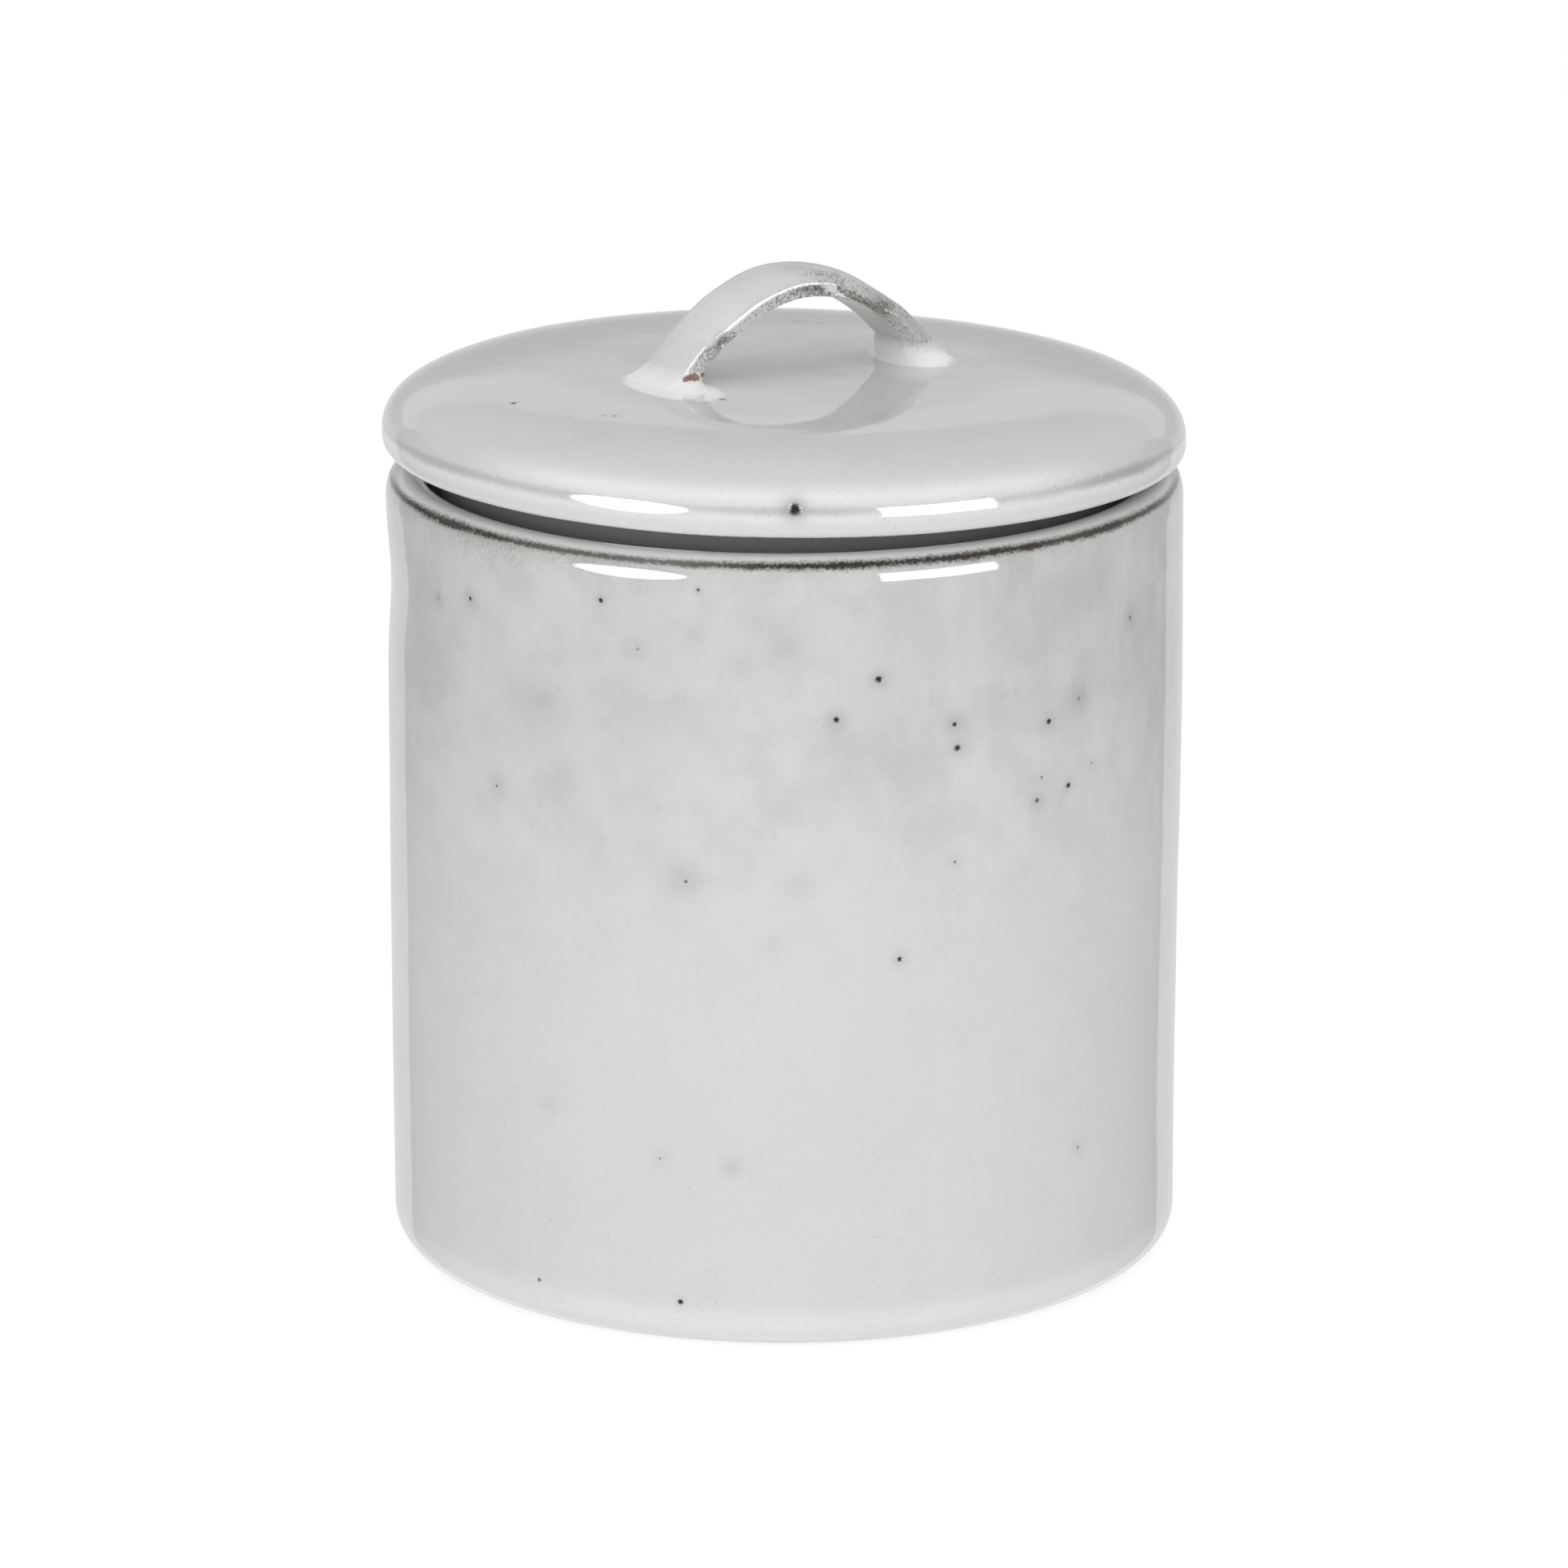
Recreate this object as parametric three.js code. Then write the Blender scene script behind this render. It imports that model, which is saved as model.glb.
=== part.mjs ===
// A round stoneware jar with a lift-off lid that carries a strap handle.
// Millimetres, +Z up. The origin is the middle of the foot, on the surface that the jar stands on.
// The handle's arch runs along X, a little off centre, as it was set by hand.

import * as THREE from 'three';

// Jar
const jarRadius = 60;
const jarHeight = 120.6;
const wallThickness = 5;
const floorThickness = 5.5;
const floorFilletRadius = 8;
const baseEdgeRadius = 5;

// Foot: a flat ring round a shallow hollow
const footWidth = 7;
const footHollowDepth = 1.5;

// Lip of the jar, an ellipse in section
const lipThickness = 6.4;
const lipCrownHeight = 2.4;

// Gallery: the ledge inside the mouth that the lid sits on
const galleryDepth = 8.6;
const galleryWidth = 6.1;
const galleryThickness = 3;
const galleryTaperHeight = 6;
const galleryNoseRadius = 1.2;

// Lid plate
const lidRadius = 60.5;
const lidHeight = 12;
const lidEdgeHeight = 3.3;
const lidUnderEdgeWidth = 1.6;
const lidShoulderPower = 3.1;
const lidShoulderRoot = 2.1;
const handleSeatMargin = 1.2;
const lidHollowDepth = 4.4;
const lidHollowEdgeWidth = 5;

// Gaps between the lid and the jar
const lipToLidGap = 2.6;
const seatClearance = 0.3;
const ringClearance = 1.2;

// Locating ring under the lid
const ringThickness = 4;
const ringEdgeRadius = 1.2;

// Strap handle
const handleRise = 16.1;
const handleSpan = 48.2;
const handleOffset = 1.7;
const strapWidth = 12;
const strapThickness = 4.2;
const legThickness = 4.3;
const footFlareReach = 2.2;
const footFlareHeight = 3.2;

// Facets
const roundFacets = 64;
const cornerSteps = 5;
const lipSteps = 8;
const shoulderSteps = 11;
const strapAround = 20;
const archSections = 11;
const flareSections = 3;
const strapRoundness = 2.6;

// Heights and radii that follow from the sizes above
const cavityRadius = jarRadius - wallThickness;
const mouthRadius = jarRadius - lipThickness;
const footOuterRadius = jarRadius - baseEdgeRadius;
const footInnerRadius = footOuterRadius - footWidth;
const floorTop = footHollowDepth + floorThickness;
const galleryTop = jarHeight - galleryDepth;
const galleryRadius = mouthRadius - galleryWidth;
const lidUnderside = jarHeight + lipToLidGap;
const lidEdgeTop = lidUnderside + lidEdgeHeight;
const lidTop = lidUnderside + lidHeight;
const ringOuterRadius = mouthRadius - ringClearance;
const ringInnerRadius = ringOuterRadius - ringThickness;
const ringBottom = galleryTop + seatClearance;
const footReachX = handleOffset + handleSpan / 2 + footFlareReach;
const footReachY = strapWidth / 2 + footFlareReach;
const handleSeatRadius = Math.hypot(footReachX, footReachY) + handleSeatMargin;

// Fired clay under a pale grey glaze, and the same clay where it stays bare
const glaze = { color: 0xcdcecb, roughness: 0.14, metalness: 0 };
const glazeOnHandle = { color: 0xc6c7c3, roughness: 0.16, metalness: 0 };

const degrees = (angle) => THREE.MathUtils.degToRad(angle);

// Points of an elliptical arc in the section plane, from one angle to another, both ends included
function arc(centreX, centreZ, radiusX, radiusZ, from, to, steps) {
  return Array.from({ length: steps + 1 }, (_, i) => {
    const angle = degrees(from + ((to - from) * i) / steps);
    return new THREE.Vector2(centreX + radiusX * Math.cos(angle), centreZ + radiusZ * Math.sin(angle));
  });
}

// Turns a section, given as radius and height, about the Z axis
function turned(section) {
  const geometry = new THREE.LatheGeometry(section, roundFacets);
  geometry.rotateX(degrees(90));
  return geometry;
}

function mesh(name, geometry, look) {
  const piece = new THREE.Mesh(geometry, new THREE.MeshStandardMaterial(look));
  piece.name = name;
  return piece;
}

function jarBody() {
  const point = (radius, height) => new THREE.Vector2(radius, height);
  const lipCentre = jarRadius - lipThickness / 2;
  const noseCentre = galleryRadius + galleryNoseRadius;
  const galleryUnderside = galleryTop - galleryThickness;
  const filletCentre = cavityRadius - floorFilletRadius;
  const section = [
    point(0, footHollowDepth),
    point(footInnerRadius - footHollowDepth, footHollowDepth),
    point(footInnerRadius, 0),
    ...arc(footOuterRadius, baseEdgeRadius, baseEdgeRadius, baseEdgeRadius, -90, 0, cornerSteps),
    ...arc(lipCentre, jarHeight - lipCrownHeight, lipThickness / 2, lipCrownHeight, 0, 180, lipSteps),
    point(mouthRadius, galleryTop),
    ...arc(noseCentre, galleryTop - galleryNoseRadius, galleryNoseRadius, galleryNoseRadius, 90, 180, 2),
    point(galleryRadius, galleryUnderside),
    point(cavityRadius, galleryUnderside - galleryTaperHeight),
    ...arc(filletCentre, floorTop + floorFilletRadius, floorFilletRadius, floorFilletRadius, 0, -90, cornerSteps),
    point(0, floorTop),
  ];
  return turned(section);
}

// Height of the lid's top at a radius: flat under the handle, then a dome that rounds into the edge
function lidTopHeight(radius) {
  if (radius <= handleSeatRadius) return lidTop;
  const outward = (radius - handleSeatRadius) / (lidRadius - handleSeatRadius);
  const share = 1 - Math.pow(outward, lidShoulderPower);
  return lidEdgeTop + (lidTop - lidEdgeTop) * Math.pow(Math.max(share, 0), 1 / lidShoulderRoot);
}

function lidPlate() {
  const point = (radius, height) => new THREE.Vector2(radius, height);
  const hollowTop = lidUnderside + lidHollowDepth;
  const hollowCentre = ringInnerRadius - lidHollowEdgeWidth;
  // Steps crowd towards the edge, where the dome turns down
  const shoulder = Array.from({ length: shoulderSteps + 1 }, (_, i) => {
    const turn = degrees((90 * i) / shoulderSteps);
    const radius = lidRadius - (lidRadius - handleSeatRadius) * (1 - Math.cos(turn));
    return point(radius, i === 0 ? lidEdgeTop : lidTopHeight(radius));
  });
  const section = [
    point(0, hollowTop),
    ...arc(hollowCentre, lidUnderside, lidHollowEdgeWidth, lidHollowDepth, 90, 0, cornerSteps),
    ...arc(lidRadius - lidUnderEdgeWidth, lidEdgeTop, lidUnderEdgeWidth, lidEdgeHeight, -90, -1, cornerSteps),
    ...shoulder,
    point(0, lidTop),
  ];
  return turned(section);
}

function lidRing() {
  const point = (radius, height) => new THREE.Vector2(radius, height);
  const edgeHeight = ringBottom + ringEdgeRadius;
  const outerCentre = ringOuterRadius - ringEdgeRadius;
  const innerCentre = ringInnerRadius + ringEdgeRadius;
  const section = [
    ...arc(innerCentre, edgeHeight, ringEdgeRadius, ringEdgeRadius, 180, 270, 2),
    ...arc(outerCentre, edgeHeight, ringEdgeRadius, ringEdgeRadius, 270, 360, 2),
    point(ringOuterRadius, lidUnderside),
    point(ringInnerRadius, lidUnderside),
    point(ringInnerRadius, edgeHeight),
  ];
  return turned(section);
}

// The strap's side view at a place along it, from -1 at the left foot to 1 at the right one:
// a point on its outer line, one on its inner line, and its width there.
// Both lines are parabolas, and near the lid they and the edges flare outwards.
function strapSection(place) {
  const outerTop = lidTop + handleRise;
  const innerTop = outerTop - strapThickness;
  const outerHalfSpan = handleSpan / 2;
  const innerHalfSpan = outerHalfSpan - legThickness;
  const outerDrop = handleRise / outerHalfSpan ** 2;
  const innerDrop = (handleRise - strapThickness) / innerHalfSpan ** 2;
  const flareStart = lidTop + footFlareHeight;
  const side = Math.sign(place);
  const away = Math.abs(place);
  const archShare = archSections / (archSections + flareSections);
  if (away <= archShare) {
    const along = away / archShare;
    const outerX = along * Math.sqrt((outerTop - flareStart) / outerDrop);
    const innerX = along * Math.sqrt((innerTop - flareStart) / innerDrop);
    return {
      outer: new THREE.Vector3(handleOffset + side * outerX, 0, outerTop - outerDrop * outerX ** 2),
      inner: new THREE.Vector3(handleOffset + side * innerX, 0, innerTop - innerDrop * innerX ** 2),
      width: strapWidth,
    };
  }
  const down = (away - archShare) / (1 - archShare);
  const height = flareStart - footFlareHeight * down;
  const flare = footFlareReach * down ** 2;
  const outerX = Math.sqrt((outerTop - height) / outerDrop) + flare;
  const innerX = Math.sqrt((innerTop - height) / innerDrop) - flare;
  return {
    outer: new THREE.Vector3(handleOffset + side * outerX, 0, height),
    inner: new THREE.Vector3(handleOffset + side * innerX, 0, height),
    width: strapWidth + 2 * flare,
  };
}

// A capped cylinder whose rings are laid on the strap's sections, as rounded oblongs
function strapHandle() {
  const sections = 2 * (archSections + flareSections);
  const geometry = new THREE.CylinderGeometry(1, 1, 2, strapAround, sections);
  const position = geometry.getAttribute('position');
  const rounded = (value) => Math.sign(value) * Math.pow(Math.abs(value), 2 / strapRoundness);
  for (let i = 0; i < position.count; i += 1) {
    const { outer, inner, width } = strapSection(position.getY(i));
    const across = rounded(position.getX(i));
    const sideways = rounded(position.getZ(i));
    const centre = outer.clone().add(inner).multiplyScalar(0.5);
    const half = outer.clone().sub(inner).multiplyScalar(0.5);
    const place = centre.addScaledVector(half, across);
    position.setXYZ(i, place.x, (sideways * width) / 2, place.z);
  }
  geometry.computeVertexNormals();
  return geometry;
}

const lid = new THREE.Group();
lid.add(mesh('lid_plate', lidPlate(), glaze));
lid.add(mesh('lid_locating_ring', lidRing(), glaze));
lid.add(mesh('strap_handle', strapHandle(), glazeOnHandle));

const jar = new THREE.Group();
jar.add(mesh('jar_body', jarBody(), glaze));
jar.add(lid);

export default jar;
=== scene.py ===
"""A round stoneware jar with a lift-off lid and a strap handle, under a thick pale grey glaze.

Everything is in metres in the frame of the solids: +Z up, the origin in the middle of the foot, and
the handle's arch along X. Sections and marks are written in millimetres, as a potter would.
"""

import logging
import math
from dataclasses import dataclass, field
from enum import Enum
from typing import Any, Callable, Mapping, Optional, Sequence, Union

import bmesh
import bpy
from mathutils import Euler, Matrix, Vector, noise


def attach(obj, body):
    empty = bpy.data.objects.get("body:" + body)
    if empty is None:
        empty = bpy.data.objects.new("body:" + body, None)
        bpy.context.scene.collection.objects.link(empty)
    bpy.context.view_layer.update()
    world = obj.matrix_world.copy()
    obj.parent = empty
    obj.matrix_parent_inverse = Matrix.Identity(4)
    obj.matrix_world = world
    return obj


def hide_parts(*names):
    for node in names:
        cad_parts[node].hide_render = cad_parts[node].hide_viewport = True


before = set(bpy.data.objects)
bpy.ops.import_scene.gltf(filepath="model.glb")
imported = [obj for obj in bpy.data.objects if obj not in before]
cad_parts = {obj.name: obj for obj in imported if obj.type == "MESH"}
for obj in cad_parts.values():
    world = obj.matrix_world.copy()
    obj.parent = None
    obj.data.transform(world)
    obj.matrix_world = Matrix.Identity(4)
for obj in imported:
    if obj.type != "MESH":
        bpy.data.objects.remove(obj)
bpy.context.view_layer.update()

MM = 0.001
SAME_POINT = 1e-4
WALL_RADIUS = 60.0
FORM, THIN, BARE = "form", "thin", "bare"
log = logging.getLogger("jar")

Number = Union["Value", float, int]
Colour = tuple[float, float, float]
Point = tuple[float, float]
Place = tuple[float, float, float]
Rows = tuple[tuple[float, ...], ...]
Ring = tuple[list[Vector], list[Point]]


class Value:
    """A number socket, on which Python's operators add Math nodes."""

    def __init__(self, graph: "Graph", socket: bpy.types.NodeSocket) -> None:
        """Wraps a socket of a graph."""
        self.graph = graph
        self.socket = socket

    def __add__(self, other: Number) -> "Value":
        """Sum."""
        return self.graph.math("ADD", self, other)

    def __radd__(self, other: Number) -> "Value":
        """Sum, the number first."""
        return self.graph.math("ADD", other, self)

    def __sub__(self, other: Number) -> "Value":
        """Difference."""
        return self.graph.math("SUBTRACT", self, other)

    def __rsub__(self, other: Number) -> "Value":
        """Difference, the number first."""
        return self.graph.math("SUBTRACT", other, self)

    def __mul__(self, other: Number) -> "Value":
        """Product."""
        return self.graph.math("MULTIPLY", self, other)

    def __rmul__(self, other: Number) -> "Value":
        """Product, the number first."""
        return self.graph.math("MULTIPLY", other, self)

    def __truediv__(self, other: Number) -> "Value":
        """Quotient."""
        return self.graph.math("DIVIDE", self, other)

    def __rtruediv__(self, other: Number) -> "Value":
        """Quotient, the number first."""
        return self.graph.math("DIVIDE", other, self)

    def __neg__(self) -> "Value":
        """Opposite."""
        return self.graph.math("MULTIPLY", self, -1.0)

    def __abs__(self) -> "Value":
        """Size without sign."""
        return self.graph.math("ABSOLUTE", self)

    def larger(self, other: Number) -> "Value":
        """The larger of two values."""
        return self.graph.math("MAXIMUM", self, other)

    def smaller(self, other: Number) -> "Value":
        """The smaller of two values."""
        return self.graph.math("MINIMUM", self, other)

    def exp(self) -> "Value":
        """e to this power."""
        return self.graph.math("EXPONENT", self)

    def bell(self, centre: Number, reach: Number) -> "Value":
        """A smooth bump of height 1 at a centre, that falls to 1/e one reach away."""
        off = (self - centre) / reach
        return (-(off * off)).exp()

    def ramp(self, start: Number, end: Number, low: float = 0.0, high: float = 1.0) -> "Value":
        """Eases from low to high as the value goes from start to end, and stays there.

        Args:
            start: value at which the ramp leaves low.
            end: value at which it reaches high; it may be less than start.
            low: result before the ramp.
            high: result after it.

        Returns:
            The eased value.
        """
        settings = {"interpolation_type": "SMOOTHSTEP"}
        inputs = {"Value": self, "From Min": start, "From Max": end, "To Min": low, "To Max": high}
        return self.graph.number("ShaderNodeMapRange", settings, inputs)


class Graph:
    """Adds nodes to one tree: of a material, of the world or of a shape."""

    def __init__(self, tree: bpy.types.NodeTree) -> None:
        """Takes the tree that the nodes go into."""
        self.tree = tree

    def node(
        self,
        kind: str,
        settings: Optional[Mapping[str, Any]] = None,
        inputs: Optional[Mapping[Union[int, str], Any]] = None,
    ) -> bpy.types.Node:
        """Adds a node, sets its settings first and then gives its sockets their values or links.

        Args:
            kind: the node's type.
            settings: its own settings, such as a Math node's operation.
            inputs: what each socket takes, by the socket's place, identifier or name.

        Returns:
            The new node.
        """
        node = self.tree.nodes.new(kind)
        for name, setting in (settings or {}).items():
            setattr(node, name, setting)
        for key, value in (inputs or {}).items():
            self._feed(self._socket(node.inputs, key), value)
        return node

    def _socket(self, sockets: Any, key: Union[int, str]) -> bpy.types.NodeSocket:
        """Finds one of a node's sockets.

        Args:
            sockets: the node's inputs or outputs.
            key: the socket's place, or its identifier or name among those in use.

        Returns:
            The socket.
        """
        if isinstance(key, int):
            return sockets[key]
        used = [socket for socket in sockets if socket.enabled]
        for called in ("identifier", "name"):
            for socket in used:
                if getattr(socket, called) == key:
                    return socket
        raise KeyError(f"no socket {key!r} among {[socket.name for socket in used]}")

    def _feed(self, socket: bpy.types.NodeSocket, value: Any) -> None:
        """Links a socket, or sets its value.

        Args:
            socket: the input socket.
            value: an output to link, or a plain value.
        """
        if isinstance(value, Value):
            value = value.socket
        if isinstance(value, bpy.types.NodeSocket):
            self.tree.links.new(value, socket)
        elif isinstance(value, tuple) and socket.type == "RGBA":
            socket.default_value = (*value, 1.0)[:4]
        else:
            socket.default_value = value

    def out(self, node: bpy.types.Node, key: Union[int, str] = 0) -> bpy.types.NodeSocket:
        """Gives a node's output by its place, identifier or name."""
        return self._socket(node.outputs, key)

    def number(
        self,
        kind: str,
        settings: Optional[Mapping[str, Any]] = None,
        inputs: Optional[Mapping[Union[int, str], Any]] = None,
        output: Union[int, str] = 0,
    ) -> Value:
        """Adds a node and wraps one of its outputs as a number.

        Args:
            kind: the node's type.
            settings: its own settings.
            inputs: what its sockets take.
            output: which output to wrap.

        Returns:
            That output as a value.
        """
        return Value(self, self.out(self.node(kind, settings, inputs), output))

    def math(self, operation: str, *terms: Number) -> Value:
        """Adds a Math node on some terms."""
        return self.number("ShaderNodeMath", {"operation": operation}, dict(enumerate(terms)))

    def split(self, vector: bpy.types.NodeSocket) -> tuple[Value, Value, Value]:
        """Splits a vector into its three numbers."""
        node = self.node("ShaderNodeSeparateXYZ", None, {0: vector})
        return Value(self, node.outputs[0]), Value(self, node.outputs[1]), Value(self, node.outputs[2])

    def join(self, x: Number, y: Number, z: Number) -> bpy.types.NodeSocket:
        """Joins three numbers into a vector."""
        return self.out(self.node("ShaderNodeCombineXYZ", None, {0: x, 1: y, 2: z}))

    def vector(self, operation: str, *terms: Any) -> bpy.types.NodeSocket:
        """Adds a Vector Math node on some terms."""
        return self.out(self.node("ShaderNodeVectorMath", {"operation": operation}, dict(enumerate(terms))))

    def distance(self, one: Any, other: Any) -> Value:
        """How far apart two points are."""
        return self.number("ShaderNodeVectorMath", {"operation": "DISTANCE"}, {0: one, 1: other}, "Value")

    def noise(
        self, place: Any, grain: Number, seed: Number = 0.0, detail: float = 2.0, rough: float = 0.55
    ) -> Value:
        """Smooth noise between about 0 and 1.

        Args:
            place: the point at which it is read.
            grain: size of its blotches, in the point's unit.
            seed: where in the fourth dimension it is read, which picks the pattern.
            detail: how many finer layers it has.
            rough: how strong the finer layers are.

        Returns:
            The noise.
        """
        inputs = {"Vector": place, "W": seed, "Scale": 1.0 / grain, "Detail": detail, "Roughness": rough}
        return self.number("ShaderNodeTexNoise", {"noise_dimensions": "4D"}, inputs)

    def mix(self, share: Number, first: Any, second: Any) -> bpy.types.NodeSocket:
        """Mixes two colours, the second by its share."""
        inputs = {"Factor_Float": share, "A_Color": first, "B_Color": second}
        return self.out(self.node("ShaderNodeMix", {"data_type": "RGBA"}, inputs), "Result_Color")


def placed(name: str, data: bpy.types.ID) -> bpy.types.Object:
    """Makes an object of a mesh, a lamp or a camera and puts it into the scene."""
    made = bpy.data.objects.new(name, data)
    bpy.context.scene.collection.objects.link(made)
    return made


def emptied(owner: Union[bpy.types.Material, bpy.types.World]) -> Graph:
    """Clears the nodes of a material or a world and gives the graph to build in."""
    owner.use_nodes = True
    owner.node_tree.nodes.clear()
    return Graph(owner.node_tree)


def clamped(share: float) -> float:
    """A share kept between 0 and 1."""
    return max(0.0, min(1.0, share))


def bump(at: float, centre: float, reach: float) -> float:
    """A smooth bump of height 1 at a centre, that falls to 1/e one reach away."""
    return math.exp(-(((at - centre) / reach) ** 2))


def on_round(azimuth: float, height: float, radius: float = WALL_RADIUS) -> Place:
    """A point on an upright round wall, by its azimuth in degrees and its height."""
    angle = math.radians(azimuth)
    return (radius * math.cos(angle), radius * math.sin(angle), height)


class Section:
    """Half of a round form's section, from its axis on the underside round to its axis on top."""

    def __init__(self, step: float) -> None:
        """Starts an empty section whose points lie at most a step apart."""
        self.step = step
        self.points: list[Point] = []

    def _add(self, point: Point) -> None:
        """Adds a point, unless it lies on the last one."""
        if not self.points or math.dist(self.points[-1], point) > SAME_POINT:
            self.points.append(point)

    def to(self, radius: float, height: float) -> "Section":
        """Goes straight to a point, with points on the way.

        Args:
            radius: the point's distance from the axis.
            height: its height.

        Returns:
            The section itself.
        """
        end = (radius, height)
        if not self.points:
            self.points.append(end)
            return self
        start = self.points[-1]
        count = max(1, math.ceil(math.dist(start, end) / self.step))
        for index in range(1, count + 1):
            self.points.append(tuple(a + (b - a) * index / count for a, b in zip(start, end)))
        return self

    def arc(self, centre: Point, radii: Point, first: float, last: float, steps: int) -> "Section":
        """Goes along an elliptical arc.

        Args:
            centre: radius and height of its middle.
            radii: half its width and half its height.
            first: angle at its start, in degrees from straight outwards.
            last: angle at its end.
            steps: how many points it takes.

        Returns:
            The section itself.
        """
        for index in range(steps + 1):
            angle = math.radians(first + (last - first) * index / steps)
            point = (centre[0] + radii[0] * math.cos(angle), centre[1] + radii[1] * math.sin(angle))
            if index == 0 and self.points and math.dist(self.points[-1], point) > self.step:
                self.to(*point)
            self._add(point)
        return self

    def bend(self, centre: Point, radii: Point, powers: Point, steps: int) -> "Section":
        """Rounds over from straight outwards to straight up, fuller than an ellipse.

        Args:
            centre: radius and height of its middle.
            radii: its width and its height.
            powers: how full it is outwards and upwards, 2 and 2 for an ellipse.
            steps: how many points it takes.

        Returns:
            The section itself.
        """
        for index in range(steps + 1):
            angle = math.radians(90 * index / steps)
            out = max(math.cos(angle), 0.0) ** (2 / powers[0])
            up = max(math.sin(angle), 0.0) ** (2 / powers[1])
            self._add((centre[0] + radii[0] * out, centre[1] + radii[1] * up))
        return self

    def mesh(self, name: str) -> bpy.types.Mesh:
        """Makes the section a mesh of edges in the XZ plane, in metres.

        Args:
            name: the mesh's name.

        Returns:
            The mesh.
        """
        mesh = bpy.data.meshes.new(name)
        places = [(max(radius, 0.0) * MM, 0.0, height * MM) for radius, height in self.points]
        mesh.from_pydata(places, [(i, i + 1) for i in range(len(places) - 1)], [])
        return mesh


@dataclass(frozen=True)
class Handwork:
    """How far a form thrown and trimmed by hand is from true, in metres and degrees."""

    waver: float = 0.0
    waver_grain: float = 0.03
    lift_waver: float = 0.0
    dent_depth: float = 0.0
    dent_azimuth: float = 0.0
    dent_height: float = 0.0
    dent_reach: float = 0.01
    dent_spread: float = 0.6
    swell: float = 0.0
    swell_azimuth: float = 0.0
    swell_height: float = 0.0
    swell_reach: float = 0.03
    tilt_x: float = 0.0
    tilt_y: float = 0.0
    level_below: float = -1.0
    tilted_above: float = -0.9
    seed: float = 0.0


class Wheel:
    """The geometry tree that turns a section into a round form and works it by hand a little."""

    POLE = 0.012
    SEAM = 1e-6
    RIM = (0.037, 0.050)
    SWELL_SPREAD = 0.9
    LIFT_PATTERN = 7.3

    def __init__(self) -> None:
        """Builds the tree once; each form gets its own sizes through the named inputs."""
        self.tree = bpy.data.node_groups.new("potters_wheel", "GeometryNodeTree")
        self.graph = Graph(self.tree)
        self.inputs: dict[str, str] = {}
        self._declare()
        self._build()

    def _declare(self) -> None:
        face = self.tree.interface
        face.new_socket(name="Geometry", in_out="INPUT", socket_type="NodeSocketGeometry")
        kinds = {"Facets": "NodeSocketInt", "Glaze": "NodeSocketMaterial"}
        names = ["Facets", "Glaze", *(key.replace("_", " ").title() for key in Handwork.__dataclass_fields__)]
        for name in names:
            kind = kinds.get(name, "NodeSocketFloat")
            socket = face.new_socket(name=name, in_out="INPUT", socket_type=kind)
            self.inputs[name] = socket.identifier
        face.new_socket(name="Geometry", in_out="OUTPUT", socket_type="NodeSocketGeometry")

    def _build(self) -> None:
        """Lays the section on a grid of facets, shapes it and closes it."""
        g = self.graph
        source = g.node("NodeGroupInput")
        given = {name: source.outputs[name] for name in self.inputs}
        size = {name: Value(g, socket) for name, socket in given.items() if name != "Glaze"}
        section = source.outputs["Geometry"]
        rows = g.number("GeometryNodeAttributeDomainSize", {"component": "MESH"}, {0: section}, "Point Count")
        facets = size["Facets"]
        spans = {"Size X": rows - 1, "Size Y": facets, "Vertices X": rows, "Vertices Y": facets + 1}
        grid = g.node("GeometryNodeMeshGrid", None, spans)
        place = g.out(g.node("GeometryNodeInputPosition"))
        along, around, _ = g.split(place)
        row = g.math("ROUND", along + (rows - 1) / 2)
        turn = (around + facets / 2) / facets * (2 * math.pi)
        vectors = {"data_type": "FLOAT_VECTOR", "domain": "POINT"}
        inputs = {"Geometry": section, "Value": place, "Index": row}
        sampled = g.node("GeometryNodeSampleIndex", vectors, inputs)
        radius, _, height = g.split(g.out(sampled))
        cosine, sine = g.math("COSINE", turn), g.math("SINE", turn)
        nominal = g.join(radius * cosine, radius * sine, height)
        in_mm = g.vector("MULTIPLY", nominal, (1 / MM, 1 / MM, 1 / MM))
        inputs = {"Geometry": g.out(grid, "Mesh"), "Name": FORM, "Value": in_mm}
        stored = g.node("GeometryNodeStoreNamedAttribute", vectors, inputs)
        worked = self._worked(size, nominal, radius, height, cosine, sine)
        shaped = g.node("GeometryNodeSetPosition", None, {"Geometry": g.out(stored), "Position": worked})
        joined = {"Geometry": g.out(shaped), "Distance": self.SEAM}
        merged = g.node("GeometryNodeMergeByDistance", None, joined)
        outward = g.node("GeometryNodeFlipFaces", None, {"Mesh": g.out(merged)})
        smooth = g.node("GeometryNodeSetShadeSmooth", None, {"Geometry": g.out(outward)})
        real = g.node("GeometryNodeRealizeInstances", None, {"Geometry": g.out(smooth)})
        glazed = {"Geometry": g.out(real), "Material": given["Glaze"]}
        dressed = g.node("GeometryNodeSetMaterial", None, glazed)
        g.node("NodeGroupOutput", None, {0: g.out(dressed)})

    def _worked(
        self,
        size: Mapping[str, Value],
        nominal: bpy.types.NodeSocket,
        radius: Value,
        height: Value,
        cosine: Value,
        sine: Value,
    ) -> bpy.types.NodeSocket:
        """Moves a true point to where the potter's hand left it.

        Args:
            size: the tree's inputs.
            nominal: the true point.
            radius: its distance from the axis.
            height: its height.
            cosine: cosine of its azimuth.
            sine: sine of its azimuth.

        Returns:
            The worked point.
        """
        g = self.graph
        off_pole = radius.ramp(0.0, self.POLE)

        def facing(azimuth: Value, spread: Number) -> Value:
            """1 where the form faces an azimuth, and less as it turns away."""
            angle = azimuth * (math.pi / 180)
            toward = cosine * g.math("COSINE", angle) + sine * g.math("SINE", angle)
            return ((toward - 1.0) / (spread * spread / 2)).exp()

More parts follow.
